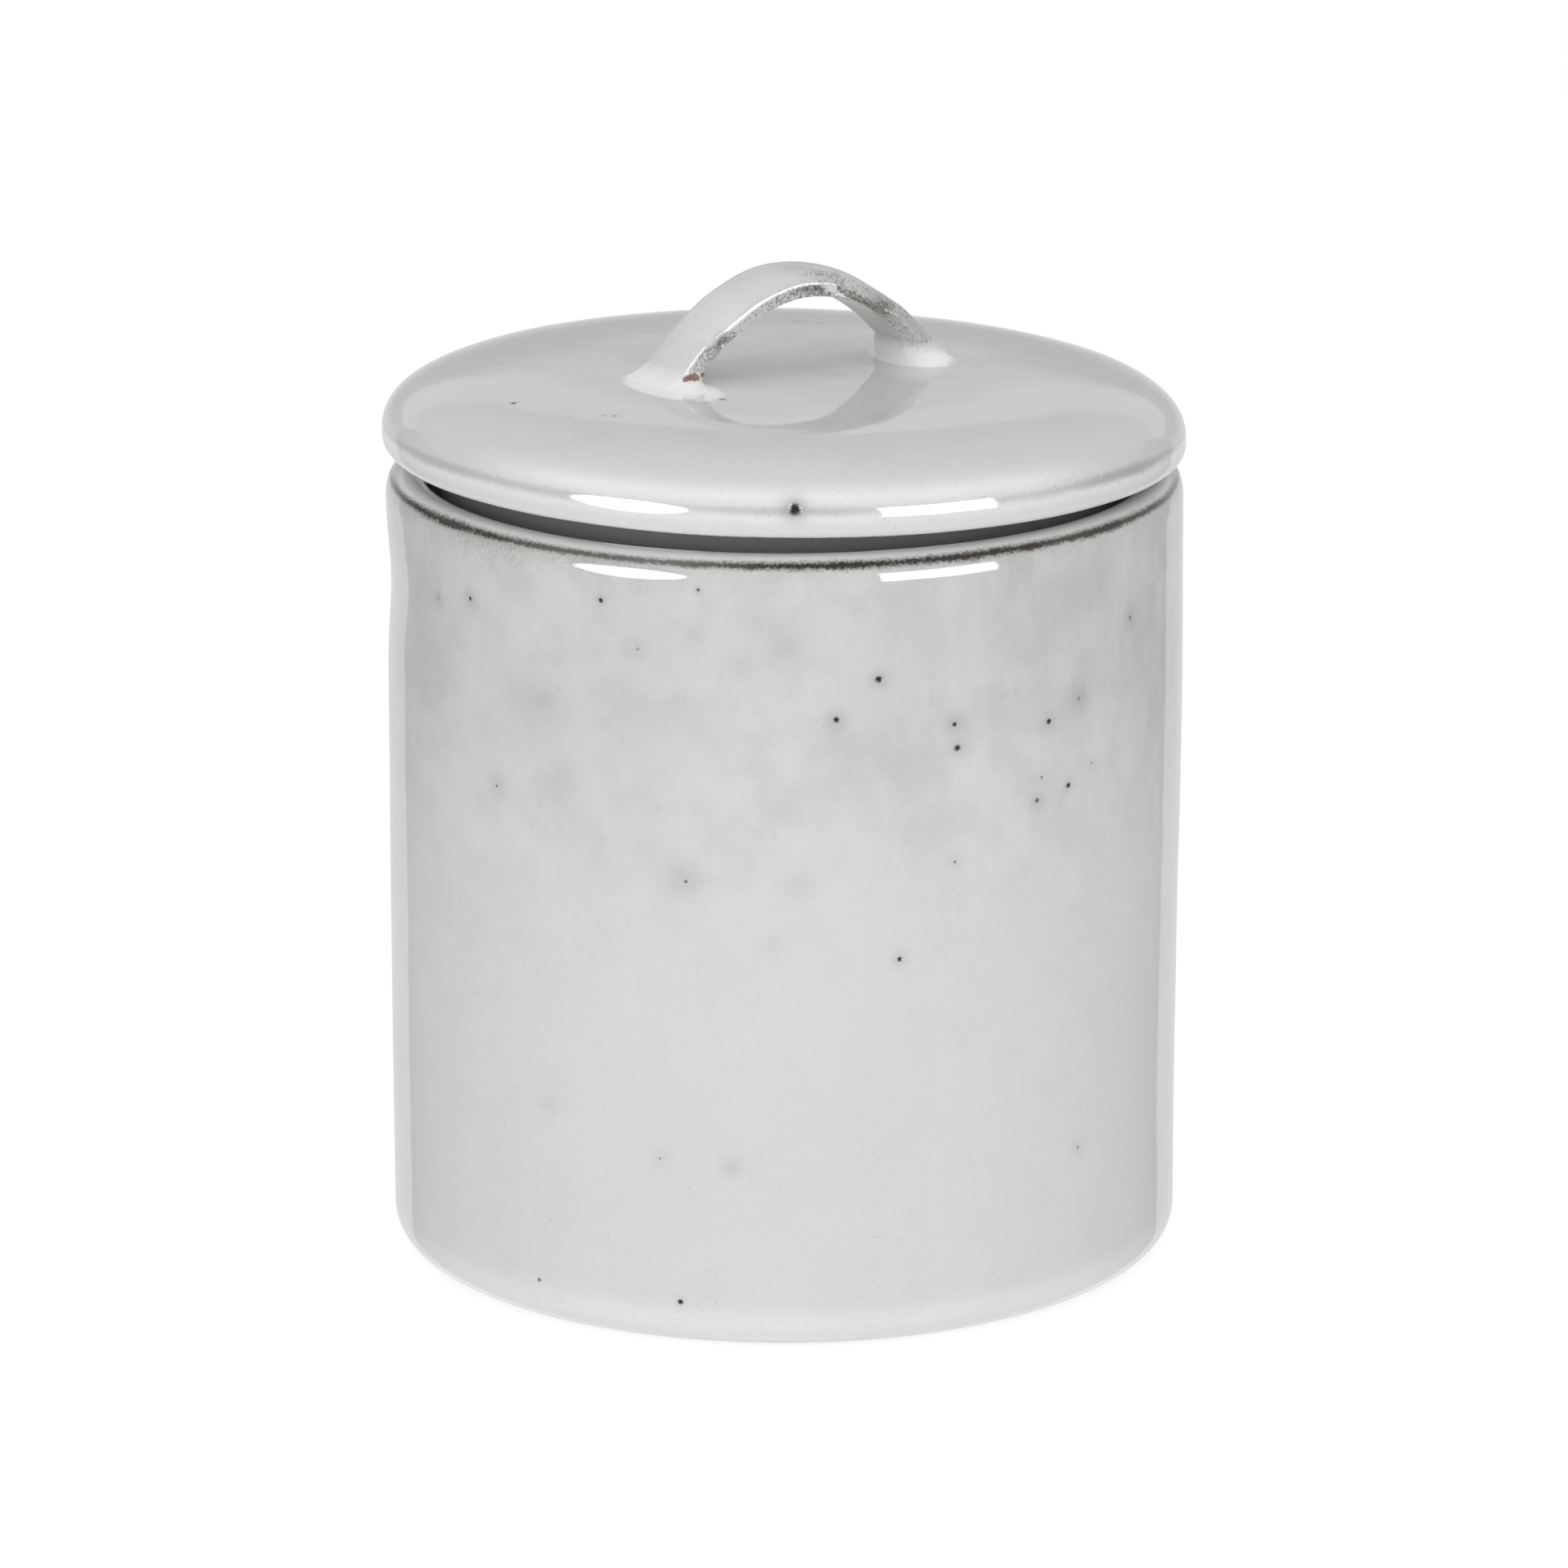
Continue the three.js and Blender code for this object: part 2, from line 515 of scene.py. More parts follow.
        def grain(shift: float) -> Value:
            """Noise about 0 at the point."""
            return (g.noise(nominal, size["Waver Grain"], size["Seed"] + shift, 1.0, 0.4) - 0.5) * 2.0

        dent = size["Dent Depth"] * facing(size["Dent Azimuth"], size["Dent Spread"])
        dent = dent * height.bell(size["Dent Height"], size["Dent Reach"])
        swell = size["Swell"] * facing(size["Swell Azimuth"], self.SWELL_SPREAD)
        swell = swell * height.bell(size["Swell Height"], size["Swell Reach"])
        worked = radius + (grain(0.0) * size["Waver"] - dent + swell) * off_pole
        x, y = worked * cosine, worked * sine
        tilted = (height - size["Level Below"]) / (size["Tilted Above"] - size["Level Below"])
        tilted = tilted.larger(0.0).smaller(1.0)
        lift = (x * size["Tilt X"] + y * size["Tilt Y"]) * tilted
        lift = lift + grain(self.LIFT_PATTERN) * size["Lift Waver"] * radius.ramp(*self.RIM)
        return g.join(x, y, height + lift)

    def turn(
        self, name: str, section: Section, facets: int, glaze: bpy.types.Material, hand: Handwork
    ) -> bpy.types.Object:
        """Turns a section into a plain mesh piece.

        Args:
            name: the piece's name.
            section: half its section.
            facets: how many faces go round it.
            glaze: its material.
            hand: how far it is from true.

        Returns:
            The new piece, with no modifier left on it.
        """
        blank = placed(name + "_section", section.mesh(name + "_section"))
        modifier = blank.modifiers.new("wheel", "NODES")
        modifier.node_group = self.tree
        sizes = {key.replace("_", " ").title(): getattr(hand, key) for key in hand.__dataclass_fields__}
        for key, value in {"Facets": facets, "Glaze": glaze, **sizes}.items():
            modifier[self.inputs[key]] = value
        shaped = blank.evaluated_get(bpy.context.evaluated_depsgraph_get())
        mesh = bpy.data.meshes.new_from_object(shaped)
        mesh.name = name
        old = blank.data
        blank.modifiers.clear()
        bpy.data.objects.remove(blank)
        bpy.data.meshes.remove(old)
        return placed(name, mesh)


def settle(piece: bpy.types.Object, body: str, node: str) -> bpy.types.Object:
    """Puts a piece on its body, in the place of its solid, which it hides.

    Args:
        piece: the finished piece.
        body: the body it moves with.
        node: the solid it stands for.

    Returns:
        The piece.
    """
    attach(piece, body)
    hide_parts(node)
    return piece


@dataclass(frozen=True)
class Mark:
    """A pinhole, an iron spot or a faint shade in the glaze, in millimetres; a shade has no depth."""

    place: Place
    radius: float
    halo: float = 1.6
    depth: float = 1.0
    halo_depth: float = 0.25


@dataclass(frozen=True)
class Lobe:
    """A stretch of a rim, by its azimuth and spread in degrees, where the glaze runs thinner."""

    azimuth: float
    spread: float
    strength: float


@dataclass(frozen=True)
class Break:
    """A line round a form where the glaze has run off an edge, in millimetres."""

    radius: float
    height: float
    width: float
    lobes: tuple[Lobe, ...]
    floor: float
    cover: float
    iron: float = 0.6
    smear: float = 0.0
    smears: tuple[Lobe, ...] = ()


@dataclass(frozen=True)
class Pool:
    """White glaze that has gathered in an oval round a foot, in millimetres."""

    middle: Point
    half: Point


class Ground(Enum):
    """What kind of surface a glaze lies on."""

    WALL = "wall"
    TOP = "top"
    STRAP = "strap"


@dataclass(frozen=True)
class ReactiveGlaze:
    """A thick pale grey stoneware glaze that clouds, breaks dark over edges and pinholes."""

    name: str
    ground: Ground
    pale: Colour = (0.686, 0.689, 0.685)
    cloud: Colour = (0.485, 0.487, 0.468)
    bluish: Colour = (0.600, 0.622, 0.665)
    # The pool colour also paints light on the wall's base band and on the lid's front shoulder.
    pool: Colour = (0.94, 0.94, 0.935)
    # The thin colour also paints the shade towards the wall's foot.
    thin: Colour = (0.205, 0.200, 0.180)
    iron: Colour = (0.026, 0.021, 0.017)
    clay: Colour = (0.36, 0.225, 0.205)
    dark_clay: Colour = (0.216, 0.135, 0.123)
    gloss: float = 0.045
    refraction: float = 1.5
    marks: tuple[Mark, ...] = ()
    breaks: tuple[Break, ...] = ()
    pools: tuple[Pool, ...] = ()
    seed: float = 0.0

    def material(self) -> bpy.types.Material:
        """Builds the glaze's material.

        Returns:
            The material.
        """
        material = bpy.data.materials.new(self.name)
        g = emptied(material)
        coat = Coat(self, g)
        colour, thin, bare, pits = coat.layers()
        rough = thin * 0.03 + bare * 0.5 + self.gloss
        relief = coat.noise(1.4, 5, 1) * 0.006 + coat.noise(9.0, 6, 1) * 0.04
        relief = relief - pits * 0.25 - thin * 0.012
        bumps = g.node("ShaderNodeBump", None, {"Strength": 1.0, "Distance": MM, "Height": relief})
        inputs = {"Base Color": colour, "Roughness": rough, "IOR": self.refraction, "Normal": g.out(bumps)}
        shader = g.node("ShaderNodeBsdfPrincipled", None, inputs)
        g.node("ShaderNodeOutputMaterial", None, {"Surface": g.out(shader)})
        return material


class Coat:
    """Lays one glaze over its surface, layer by layer, in a material's graph."""

    # Azimuth, height, reach and strength of each.
    BLUE_PATCHES: Rows = (
        (258.5, 112.5, 6.0, 0.36),
        (252.5, 108.0, 6.0, 0.30),
        (246.5, 103.0, 5.5, 0.24),
        (222.0, 95.0, 9.0, 0.26),
        (213.5, 92.5, 9.0, 0.32),
        (212.0, 88.0, 6.0, 0.16),
    )
    # Azimuth of the camera, round which the lid's shoulder gets painted light.
    THICK_RIM_AZIMUTH = 236.0
    RUNS_AZIMUTH = 295.0
    RUN_STRETCH = (1.0, 1.0, 0.22)
    POOL_EDGE = 0.80
    POOL_TOP = (138.6, 136.0)
    CELL = 11.0

    def __init__(self, glaze: ReactiveGlaze, graph: Graph) -> None:
        """Reads the point on the true form, in millimetres, and the noises that the layers share.

        Args:
            glaze: the glaze to lay.
            graph: the graph of its material.
        """
        self.glaze, self.graph = glaze, graph
        self.place = graph.out(graph.node("ShaderNodeAttribute", {"attribute_name": FORM}), "Vector")
        self.x, self.y, self.z = graph.split(self.place)
        self.radius = graph.math("SQRT", self.x * self.x + self.y * self.y)
        self.broad = self.noise(26.0, 0)
        self.patch = self.noise(7.5, 1, 3)
        self.fine = self.noise(1.1, 2)
        self.none = self.fine * 0.0

    def noise(self, grain: float, layer: int, detail: float = 2.0) -> Value:
        """Noise at the point, by the size of its blotches; each layer has a pattern of its own."""
        return self.graph.noise(self.place, grain, self.glaze.seed + layer, detail)

    def _painted(self, name: str) -> Value:
        """A share that the piece's mesh carries at its points."""
        return self.graph.number("ShaderNodeAttribute", {"attribute_name": name}, None, "Fac")

    def _toward(self, azimuth: float, radius: Number) -> Value:
        """1 where the point lies towards an azimuth, and less as it turns away from it."""
        angle = math.radians(azimuth)
        return (self.x * math.cos(angle) + self.y * math.sin(angle)) / radius

    def layers(self) -> tuple[Any, Value, Value, Value]:
        """Works out the glaze's colour and where it is thin, bare or pitted.

        Returns:
            Colour, thinness, bareness and depth of pits.
        """
        g, glaze, z, fine = self.graph, self.glaze, self.z, self.fine
        colour = g.mix(self._clouds(), glaze.pale, glaze.cloud)
        if glaze.ground is Ground.WALL:
            colour = g.mix(self._blue().smaller(0.8), colour, glaze.bluish)
            # Painted light: the pool colour whitens a band round the base, for the light that the table
            # throws up onto it, and also whitens the lip's crest.
            crest, foot = z.ramp(119.8, 120.5), z.bell(4.8, 1.8)
            colour = g.mix(crest * 0.65 + foot * 0.26, colour, glaze.pool)
            # Painted shade: the thin glaze's colour darkens the wall towards the floor, for the shade where
            # the jar stands on it.
            colour = g.mix(z.ramp(2.2, -0.8) * 0.85, colour, glaze.thin)
        if glaze.ground is Ground.TOP:
            # Painted light on the lid's front shoulder, and thick white glaze below the shoulder.
            colour = g.mix(self._thick_rim(), colour, glaze.pool)
        colour = g.mix((fine - 0.5) * 0.16 + 0.05, colour, glaze.cloud)
        dust = self.noise(0.34, 3, 1).ramp(0.62, 0.76) * self.patch.ramp(0.3, 0.7, 0.08, 0.28)
        colour = g.mix(dust, colour, glaze.thin)
        thin, core = self._thinness()
        if glaze.pools:
            pooled = self._pooled()
            colour = g.mix(pooled, colour, glaze.pool)
            thin, core = thin * (1.0 - pooled), core * (1.0 - pooled)
        bare = self._bareness() if glaze.ground is Ground.STRAP else self.none
        colour = g.mix(thin, colour, glaze.thin)
        colour = g.mix(core, colour, glaze.iron)
        grain = self.noise(0.5, 9).ramp(0.35, 0.65)
        colour = g.mix(bare, colour, g.mix(grain, glaze.clay, glaze.dark_clay))
        pits, halo = self._pinholes()
        colour = g.mix(halo, colour, glaze.thin)
        return g.mix(pits, colour, glaze.iron), thin, bare, pits

    def _clouds(self) -> Value:
        """How grey the clouds make the glaze; on the strap they also paint light and shade, paler on the left
        leg and greyer towards the right.

        Returns:
            The clouds' share of the colour.
        """
        broad, patch, x, z = self.broad, self.patch, self.x, self.z
        if self.glaze.ground is Ground.WALL:
            upper = z.ramp(50.0, 100.0)
            mottle = patch.ramp(0.40, 0.66) * (upper * 0.22 + 0.05)
            runs = self._runs() * upper * 0.14
            broad_share = broad.ramp(0.34, 0.68) * (upper * 0.16 + 0.06)
            return broad_share + mottle + runs + z.ramp(64.0, 114.0) * 0.12
        soft = broad.ramp(0.35, 0.70) * 0.16 + patch.ramp(0.44, 0.7) * 0.10 + 0.10
        if self.glaze.ground is Ground.STRAP:
            # Painted light and shade: the clouds fade away on the left leg and grey the strap towards the
            # right.
            soft = soft * x.ramp(-18.0, 2.0) + patch.ramp(0.40, 0.66) * 0.14 * z.ramp(137.0, 141.0)
            return soft + x.ramp(-14.0, 8.0) * 0.30
        # The clouds thin out round the lid's shoulder, leaving it paler; this is partly painted light.
        rim = self.radius.ramp(47.0, 57.0) * z.ramp(123.0, 124.5)
        return soft * (1.0 - rim * 0.9)

    def _thick_rim(self) -> Value:
        """Where the lid's glaze is whitened: above the shoulder on the side facing the camera, as painted
        light, and below the shoulder all round, where white glaze lies thick.
        """
        toward = self._toward(self.THICK_RIM_AZIMUTH, self.radius.larger(1.0))
        # The band above the shoulder is painted light, strongest towards the camera's azimuth.
        bands = self.z.bell(129.5, 1.3) * toward.ramp(0.60, 0.86) * 0.65 + self.z.bell(126.3, 0.9) * 0.38
        return bands * self.radius.ramp(50.0, 57.0)

    def _runs(self) -> Value:
        """Where the glaze has run down the wall in soft upright streaks, most at one side."""
        stretched = self.graph.vector("MULTIPLY", self.place, self.RUN_STRETCH)
        streaks = self.graph.noise(stretched, 3.4, self.glaze.seed + 12, 2).ramp(0.42, 0.66)
        return streaks * self._toward(self.RUNS_AZIMUTH, WALL_RADIUS).ramp(0.55, 0.95, 0.25, 1.0)

    def _blue(self) -> Value:
        """Where the thick glaze turns bluish, in a few soft patches.

        Returns:
            The bluish share of the colour.
        """
        share = self.none
        for azimuth, height, reach, strength in self.BLUE_PATCHES:
            off = self.graph.distance(self.place, on_round(azimuth, height))
            share = share + off.bell(0.0, reach) * strength
        return share * self.patch.ramp(0.30, 0.62, 0.5, 1.0)

    def _pooled(self) -> Value:
        """Where white glaze lies thick round the handle's feet.

        Returns:
            The white glaze's share of the colour.
        """
        share = self.none
        for pool in self.glaze.pools:
            off_x = (self.x - pool.middle[0]) / pool.half[0]
            off_y = (self.y - pool.middle[1]) / pool.half[1]
            off = self.graph.math("SQRT", off_x * off_x + off_y * off_y) + (self.fine - 0.5) * 0.16
            share = share.larger(off.ramp(1.0, self.POOL_EDGE))
        if self.glaze.ground is Ground.STRAP:
            share = share * (self.z + (self.fine - 0.5) * 1.2).ramp(*self.POOL_TOP)
        return share

    def _lobed(self, lobes: Sequence[Lobe], floor: float = 0.0) -> Value:
        """How strong a line round the form is at the point's azimuth.

        Args:
            lobes: the stretches where it is stronger.
            floor: how strong it is everywhere.

        Returns:
            Its strength.
        """
        strength = self.radius * 0.0 + floor
        for lobe in lobes:
            spread = math.radians(lobe.spread)
            facing = ((self._toward(lobe.azimuth, self.radius) - 1.0) / (spread * spread / 2)).exp()
            strength = facing * lobe.strength + strength
        return strength

    def _thinness(self) -> tuple[Value, Value]:
        """Where the glaze is thin, and how much iron shows at the core of its breaks.

        Returns:
            Thinness and iron, both 0 to 1.
        """
        thin = core = self.none
        grit, uneven = self.noise(0.5, 4), self.patch - 0.5
        for line in self.glaze.breaks:
            strength = self._lobed(line.lobes, line.floor)
            off_radius, off_height = self.radius - line.radius, self.z - line.height - uneven * 0.5
            off = self.graph.math("SQRT", off_radius * off_radius + off_height * off_height)
            ragged = off / ((strength * 0.7 + 0.65) * line.width) + (grit - 0.5) * 1.7 + uneven * 1.2
            ragged = ragged + (0.55 - strength).larger(0.0) * 0.8
            thin = thin.larger(ragged.ramp(1.6, 0.3) * (strength * 1.6).smaller(1.0) * line.cover)
            rusty = (strength * 1.25 - 0.30).larger(0.0).smaller(1.0) * line.iron
            core = core.larger(ragged.ramp(0.85, 0.15) * rusty)
            if line.smear:
                thin = thin.larger(self._spray(line, grit))
        if self.glaze.ground is Ground.STRAP:
            facet = self._painted(THIN)
            ragged = facet + (self.noise(0.36, 14) - 0.5) * 2.4 + uneven * 0.5
            thin = thin.larger(ragged.ramp(0.45, 1.15) * 0.85 * facet.ramp(0.02, 0.2))
            core = core.larger(ragged.ramp(1.10, 1.45) * 0.6 * facet.ramp(0.3, 0.6))
        return thin, core.smaller(1.0)

    def _spray(self, line: Break, grit: Value) -> Value:
        """Where dark grains have run down from a break.

        Args:
            line: the break.
            grit: the noise of its grains.

        Returns:
            How thin they make the glaze.
        """
        below = (line.height - self.z) / line.smear
        spray = below.ramp(-0.05, 0.05) * (-below.larger(0.0) * 1.3).exp()
        spray = spray * (grit + spray * 0.14).ramp(0.36, 0.72) * self.patch.ramp(0.22, 0.55)
        return spray * self._lobed(line.smears).smaller(1.0) * 0.62

    def _bareness(self) -> Value:
        """Where the glaze leaves the clay of the handle's feet bare."""
        bare = self._painted(BARE)
        edge = (self.noise(0.8, 8, 3) - 0.5) * 1.3
        return (bare + edge).ramp(0.46, 0.66) * bare.ramp(0.10, 0.30)

    def _pinholes(self) -> tuple[Value, Value]:
        """The glaze's own marks and a few scattered pinholes.

        Returns:
            How deep the pinholes and how dark their halos are.
        """
        g, pits, halo = self.graph, self.none, self.none
        for mark in self.glaze.marks:
            off = g.distance(self.place, mark.place)
            if mark.depth:
                ragged = off + (self.fine - 0.5) * mark.radius
                pits = pits.larger(ragged.ramp(mark.radius * 1.2, mark.radius * 0.4, 0.0, mark.depth))
            halo = halo + off.bell(0.0, mark.halo) * mark.halo_depth
        inputs = {"Vector": self.place, "Scale": 1 / self.CELL}
        cells = g.node("ShaderNodeTexVoronoi", {"feature": "F1"}, inputs)
        chance, _, size = g.split(g.out(cells, "Color"))
        away = Value(g, g.out(cells, "Distance")) * self.CELL
        zone = self.z.ramp(30.0, 90.0, 0.15, 0.75) if self.glaze.ground is Ground.WALL else 0.5
        sparse = chance.ramp(0.80, 0.84) * zone
        pits = pits.larger(away.ramp(0.42, 0.12) * sparse * size.ramp(0.2, 0.8, 0.3, 0.9))
        halo = halo + away.bell(0.0, 1.3) * sparse * 0.16
        return pits, halo.smaller(0.6)


# Pinholes that the camera sees: azimuth, height, radius, and then the halo, depth and halo's depth.
PINHOLES: Rows = (
    (249.0, 102.6, 0.55, 1.3, 1.0, 0.34),
    (243.0, 96.8, 0.45),
    (260.2, 94.8, 0.40),
    (260.7, 91.2, 0.55, 1.2),
    (275.9, 92.9, 0.50),
    (279.8, 82.4, 0.45, 1.2),
    (273.9, 81.2, 0.40, 1.6, 0.8),
    (274.7, 84.6, 0.25, 1.6, 0.6, 0.1),
    (281.8, 95.2, 0.35, 2.0, 0.5),
    (252.2, 60.0, 0.45, 1.2),
    (221.0, 7.2, 0.45, 0.8),
    (222.0, 72.0, 0.28, 2.6, 0.7, 0.2),
    (209.5, 113.2, 0.42, 0.9, 1.0, 0.3),
    (185.4, 109.4, 0.42, 1.6, 1.0, 0.3),
    (177.0, 107.6, 0.30, 1.6, 0.5),
    (223.9, 116.0, 0.25, 0.7, 0.8),
    (198.4, 7.1, 0.25, 0.4, 0.8),
    (191.0, 82.1, 0.25, 1.6, 0.6, 0.12),
    (260.4, 73.9, 0.22, 1.6, 0.7, 0.1),
    (284.6, 84.8, 0.22, 1.6, 0.5, 0.1),
    (293.7, 105.0, 0.40, 2.0, 0.6),
    (282.7, 25.7, 0.25, 1.6, 0.6, 0.1),
    (218.1, 29.2, 0.20, 1.6, 0.5, 0.08),
    (215.1, 106.5, 0.3, 2.0, 0.4, 0.16),
)
# Pinholes on the far side: azimuth, height, radius.
FAR_PINHOLES: Rows = (
    (12.0, 74.0, 0.36),
    (28.0, 101.0, 0.44),
    (41.0, 88.5, 0.36),
    (63.0, 104.5, 0.48),
    (72.0, 66.0, 0.40),
    (97.0, 93.0, 0.44),
    (118.0, 80.5, 0.34),
    (133.0, 103.0, 0.40),
    (148.0, 52.0, 0.30),
    (324.0, 62.0, 0.32),
    (340.0, 90.0, 0.40),
)
# Soft grey shades in the wall's glaze: azimuth, height, reach, depth.
SHADES: Rows = (
    (228.3, 28.5, 1.5, 0.16),
    (200.2, 34.7, 1.6, 0.10),
    (237.9, 72.0, 2.6, 0.12),
    (234.2, 63.2, 1.8, 0.10),
    (222.5, 109.2, 2.8, 0.10),
    (236.2, 108.0, 2.6, 0.14),
    (200.0, 96.0, 3.4, 0.12),
    (203.0, 86.0, 3.0, 0.08),
    (251.0, 113.0, 7.0, 0.08),
    (267.0, 109.0, 9.0, 0.10),
    (282.0, 108.0, 8.0, 0.10),
    (294.0, 100.0, 8.0, 0.12),
    (302.0, 93.0, 8.0, 0.10),
    (279.0, 97.0, 6.0, 0.06),
    (236.0, 108.0, 6.0, 0.07),
    (203.0, 106.0, 5.0, 0.06),
    (196.0, 96.0, 6.0, 0.09),
    (170.0, 108.0, 8.0, 0.12),
    (172.0, 95.0, 6.0, 0.10),
    (204.0, 80.0, 4.0, 0.08),
    (252.0, 91.0, 5.0, 0.06),
    (258.0, 77.0, 5.0, 0.05),
    (235.0, 85.0, 3.5, 0.07),
    (246.0, 84.0, 3.0, 0.06),
)


@dataclass
class Jar:
    """The pot: floor on a foot ring, upright wall, gallery inside the mouth and a rounded lip."""

    radius: float = 60.0
    height: float = 120.8
    wall: float = 5.0
    floor_thickness: float = 5.5
    floor_fillet: float = 8.0
    base_edge: float = 5.0
    foot_width: float = 7.0
    foot_hollow: float = 1.5
    lip_thickness: float = 6.4
    lip_crest: float = 56.5
    lip_outer_drop: float = 4.3
    lip_fullness: Point = (2.4, 2.2)
    lip_inner_drop: float = 2.6
    gallery_depth: float = 8.8
    gallery_width: float = 6.1
    gallery_thickness: float = 3.0
    gallery_taper: float = 6.0
    nose: float = 1.2
    gallery_corner: float = 0.8
    hollow_ease: Point = (1.1, 0.9)
    foot_edge: float = 0.5
    lip_steps: int = 22
    facets: int = 288
    name: str = "jar_body_glazed"
    hand: Handwork = field(
        default_factory=lambda: Handwork(
            waver=0.00028,
            waver_grain=0.042,
            dent_depth=0.00065,
            dent_azimuth=150.0,
            dent_height=0.104,
            dent_reach=0.0075,
            dent_spread=0.75,
            swell=0.00045,
            swell_azimuth=325.0,
            swell_height=0.095,
            swell_reach=0.034,
            seed=3.7,
        )
    )

    def section(self) -> Section:
        """Draws the pot's section from the middle of its underside round to the middle of its floor.

        Returns:
            The section.
        """
        cavity = self.radius - self.wall
        mouth = self.radius - self.lip_thickness
        foot_out = self.radius - self.base_edge
        foot_in = foot_out - self.foot_width
        floor = self.foot_hollow + self.floor_thickness
        gallery = self.height - self.gallery_depth
        ledge = mouth - self.gallery_width
        under = gallery - self.gallery_thickness
        lip_root = self.height - self.lip_outer_drop
        wide, tall = self.hollow_ease
        edge, corner, nose, fillet = self.foot_edge, self.gallery_corner, self.nose, self.floor_fillet
        section = Section(1.3)
        section.to(0, self.foot_hollow).to(foot_in - 2 * wide, self.foot_hollow)
        section.arc((foot_in - 2 * wide, self.foot_hollow - tall), (wide, tall), 90, 20, 5)
        section.arc((foot_in + edge, edge), (edge, edge), 200, 270, 4)
        section.arc((foot_out, self.base_edge), (self.base_edge, self.base_edge), -90, 0, 18)
        section.to(self.radius, lip_root)
        outer = (self.radius - self.lip_crest, self.lip_outer_drop)
        section.bend((self.lip_crest, lip_root), outer, self.lip_fullness, self.lip_steps)
        inner = (self.lip_crest - mouth, self.lip_inner_drop)
        section.arc((self.lip_crest, self.height - self.lip_inner_drop), inner, 90, 180, self.lip_steps)
        section.arc((mouth - corner, gallery + corner), (corner, corner), 0, -90, 5)
        section.arc((ledge + nose, gallery - nose), (nose, nose), 90, 180, 6)
        section.to(ledge, under).to(cavity, under - self.gallery_taper)
        section.arc((cavity - fillet, floor + fillet), (fillet, fillet), 0, -90, 12)
        return section.to(0, floor)

    def glaze(self) -> ReactiveGlaze:
        """The wall's glaze, with its pinholes, its soft shades and the dark line round its lip.

        Returns:
            The glaze.
        """
        near = [Mark(on_round(azimuth, height), *rest) for azimuth, height, *rest in PINHOLES]
        far = [Mark(on_round(*place), radius, 1.1, 1.0, 0.28) for *place, radius in FAR_PINHOLES]
        shades = [Mark(on_round(*place), 1.0, reach, 0.0, depth) for *place, reach, depth in SHADES]
        lobes = (
            Lobe(180, 16, 0.95),
            Lobe(208, 9, 0.20),
            Lobe(241, 16, 0.75),
            Lobe(266, 12, 0.80),
            Lobe(290, 12, 0.6),
            Lobe(30, 40, 0.6),
            Lobe(95, 20, 0.5),
        )
        smears = (Lobe(184, 20, 1.2), Lobe(212, 9, 0.7), Lobe(282, 12, 0.5), Lobe(40, 40, 0.6))
        lip = Break(59.15, 119.6, 0.52, lobes, floor=0.40, cover=0.94, iron=0.95, smear=3.6, smears=smears)
        marks = (*near, *far, *shades)
        return ReactiveGlaze("wall_glaze", Ground.WALL, marks=marks, breaks=(lip,), seed=11.0)

    def build(self, wheel: Wheel) -> bpy.types.Object:
        """Turns the pot and puts it in its place.

        Args:
            wheel: the tree that turns sections.

        Returns:
            The finished pot.
        """
        pot = wheel.turn(self.name, self.section(), self.facets, self.glaze().material(), self.hand)
        return settle(pot, "jar", "jar_body")


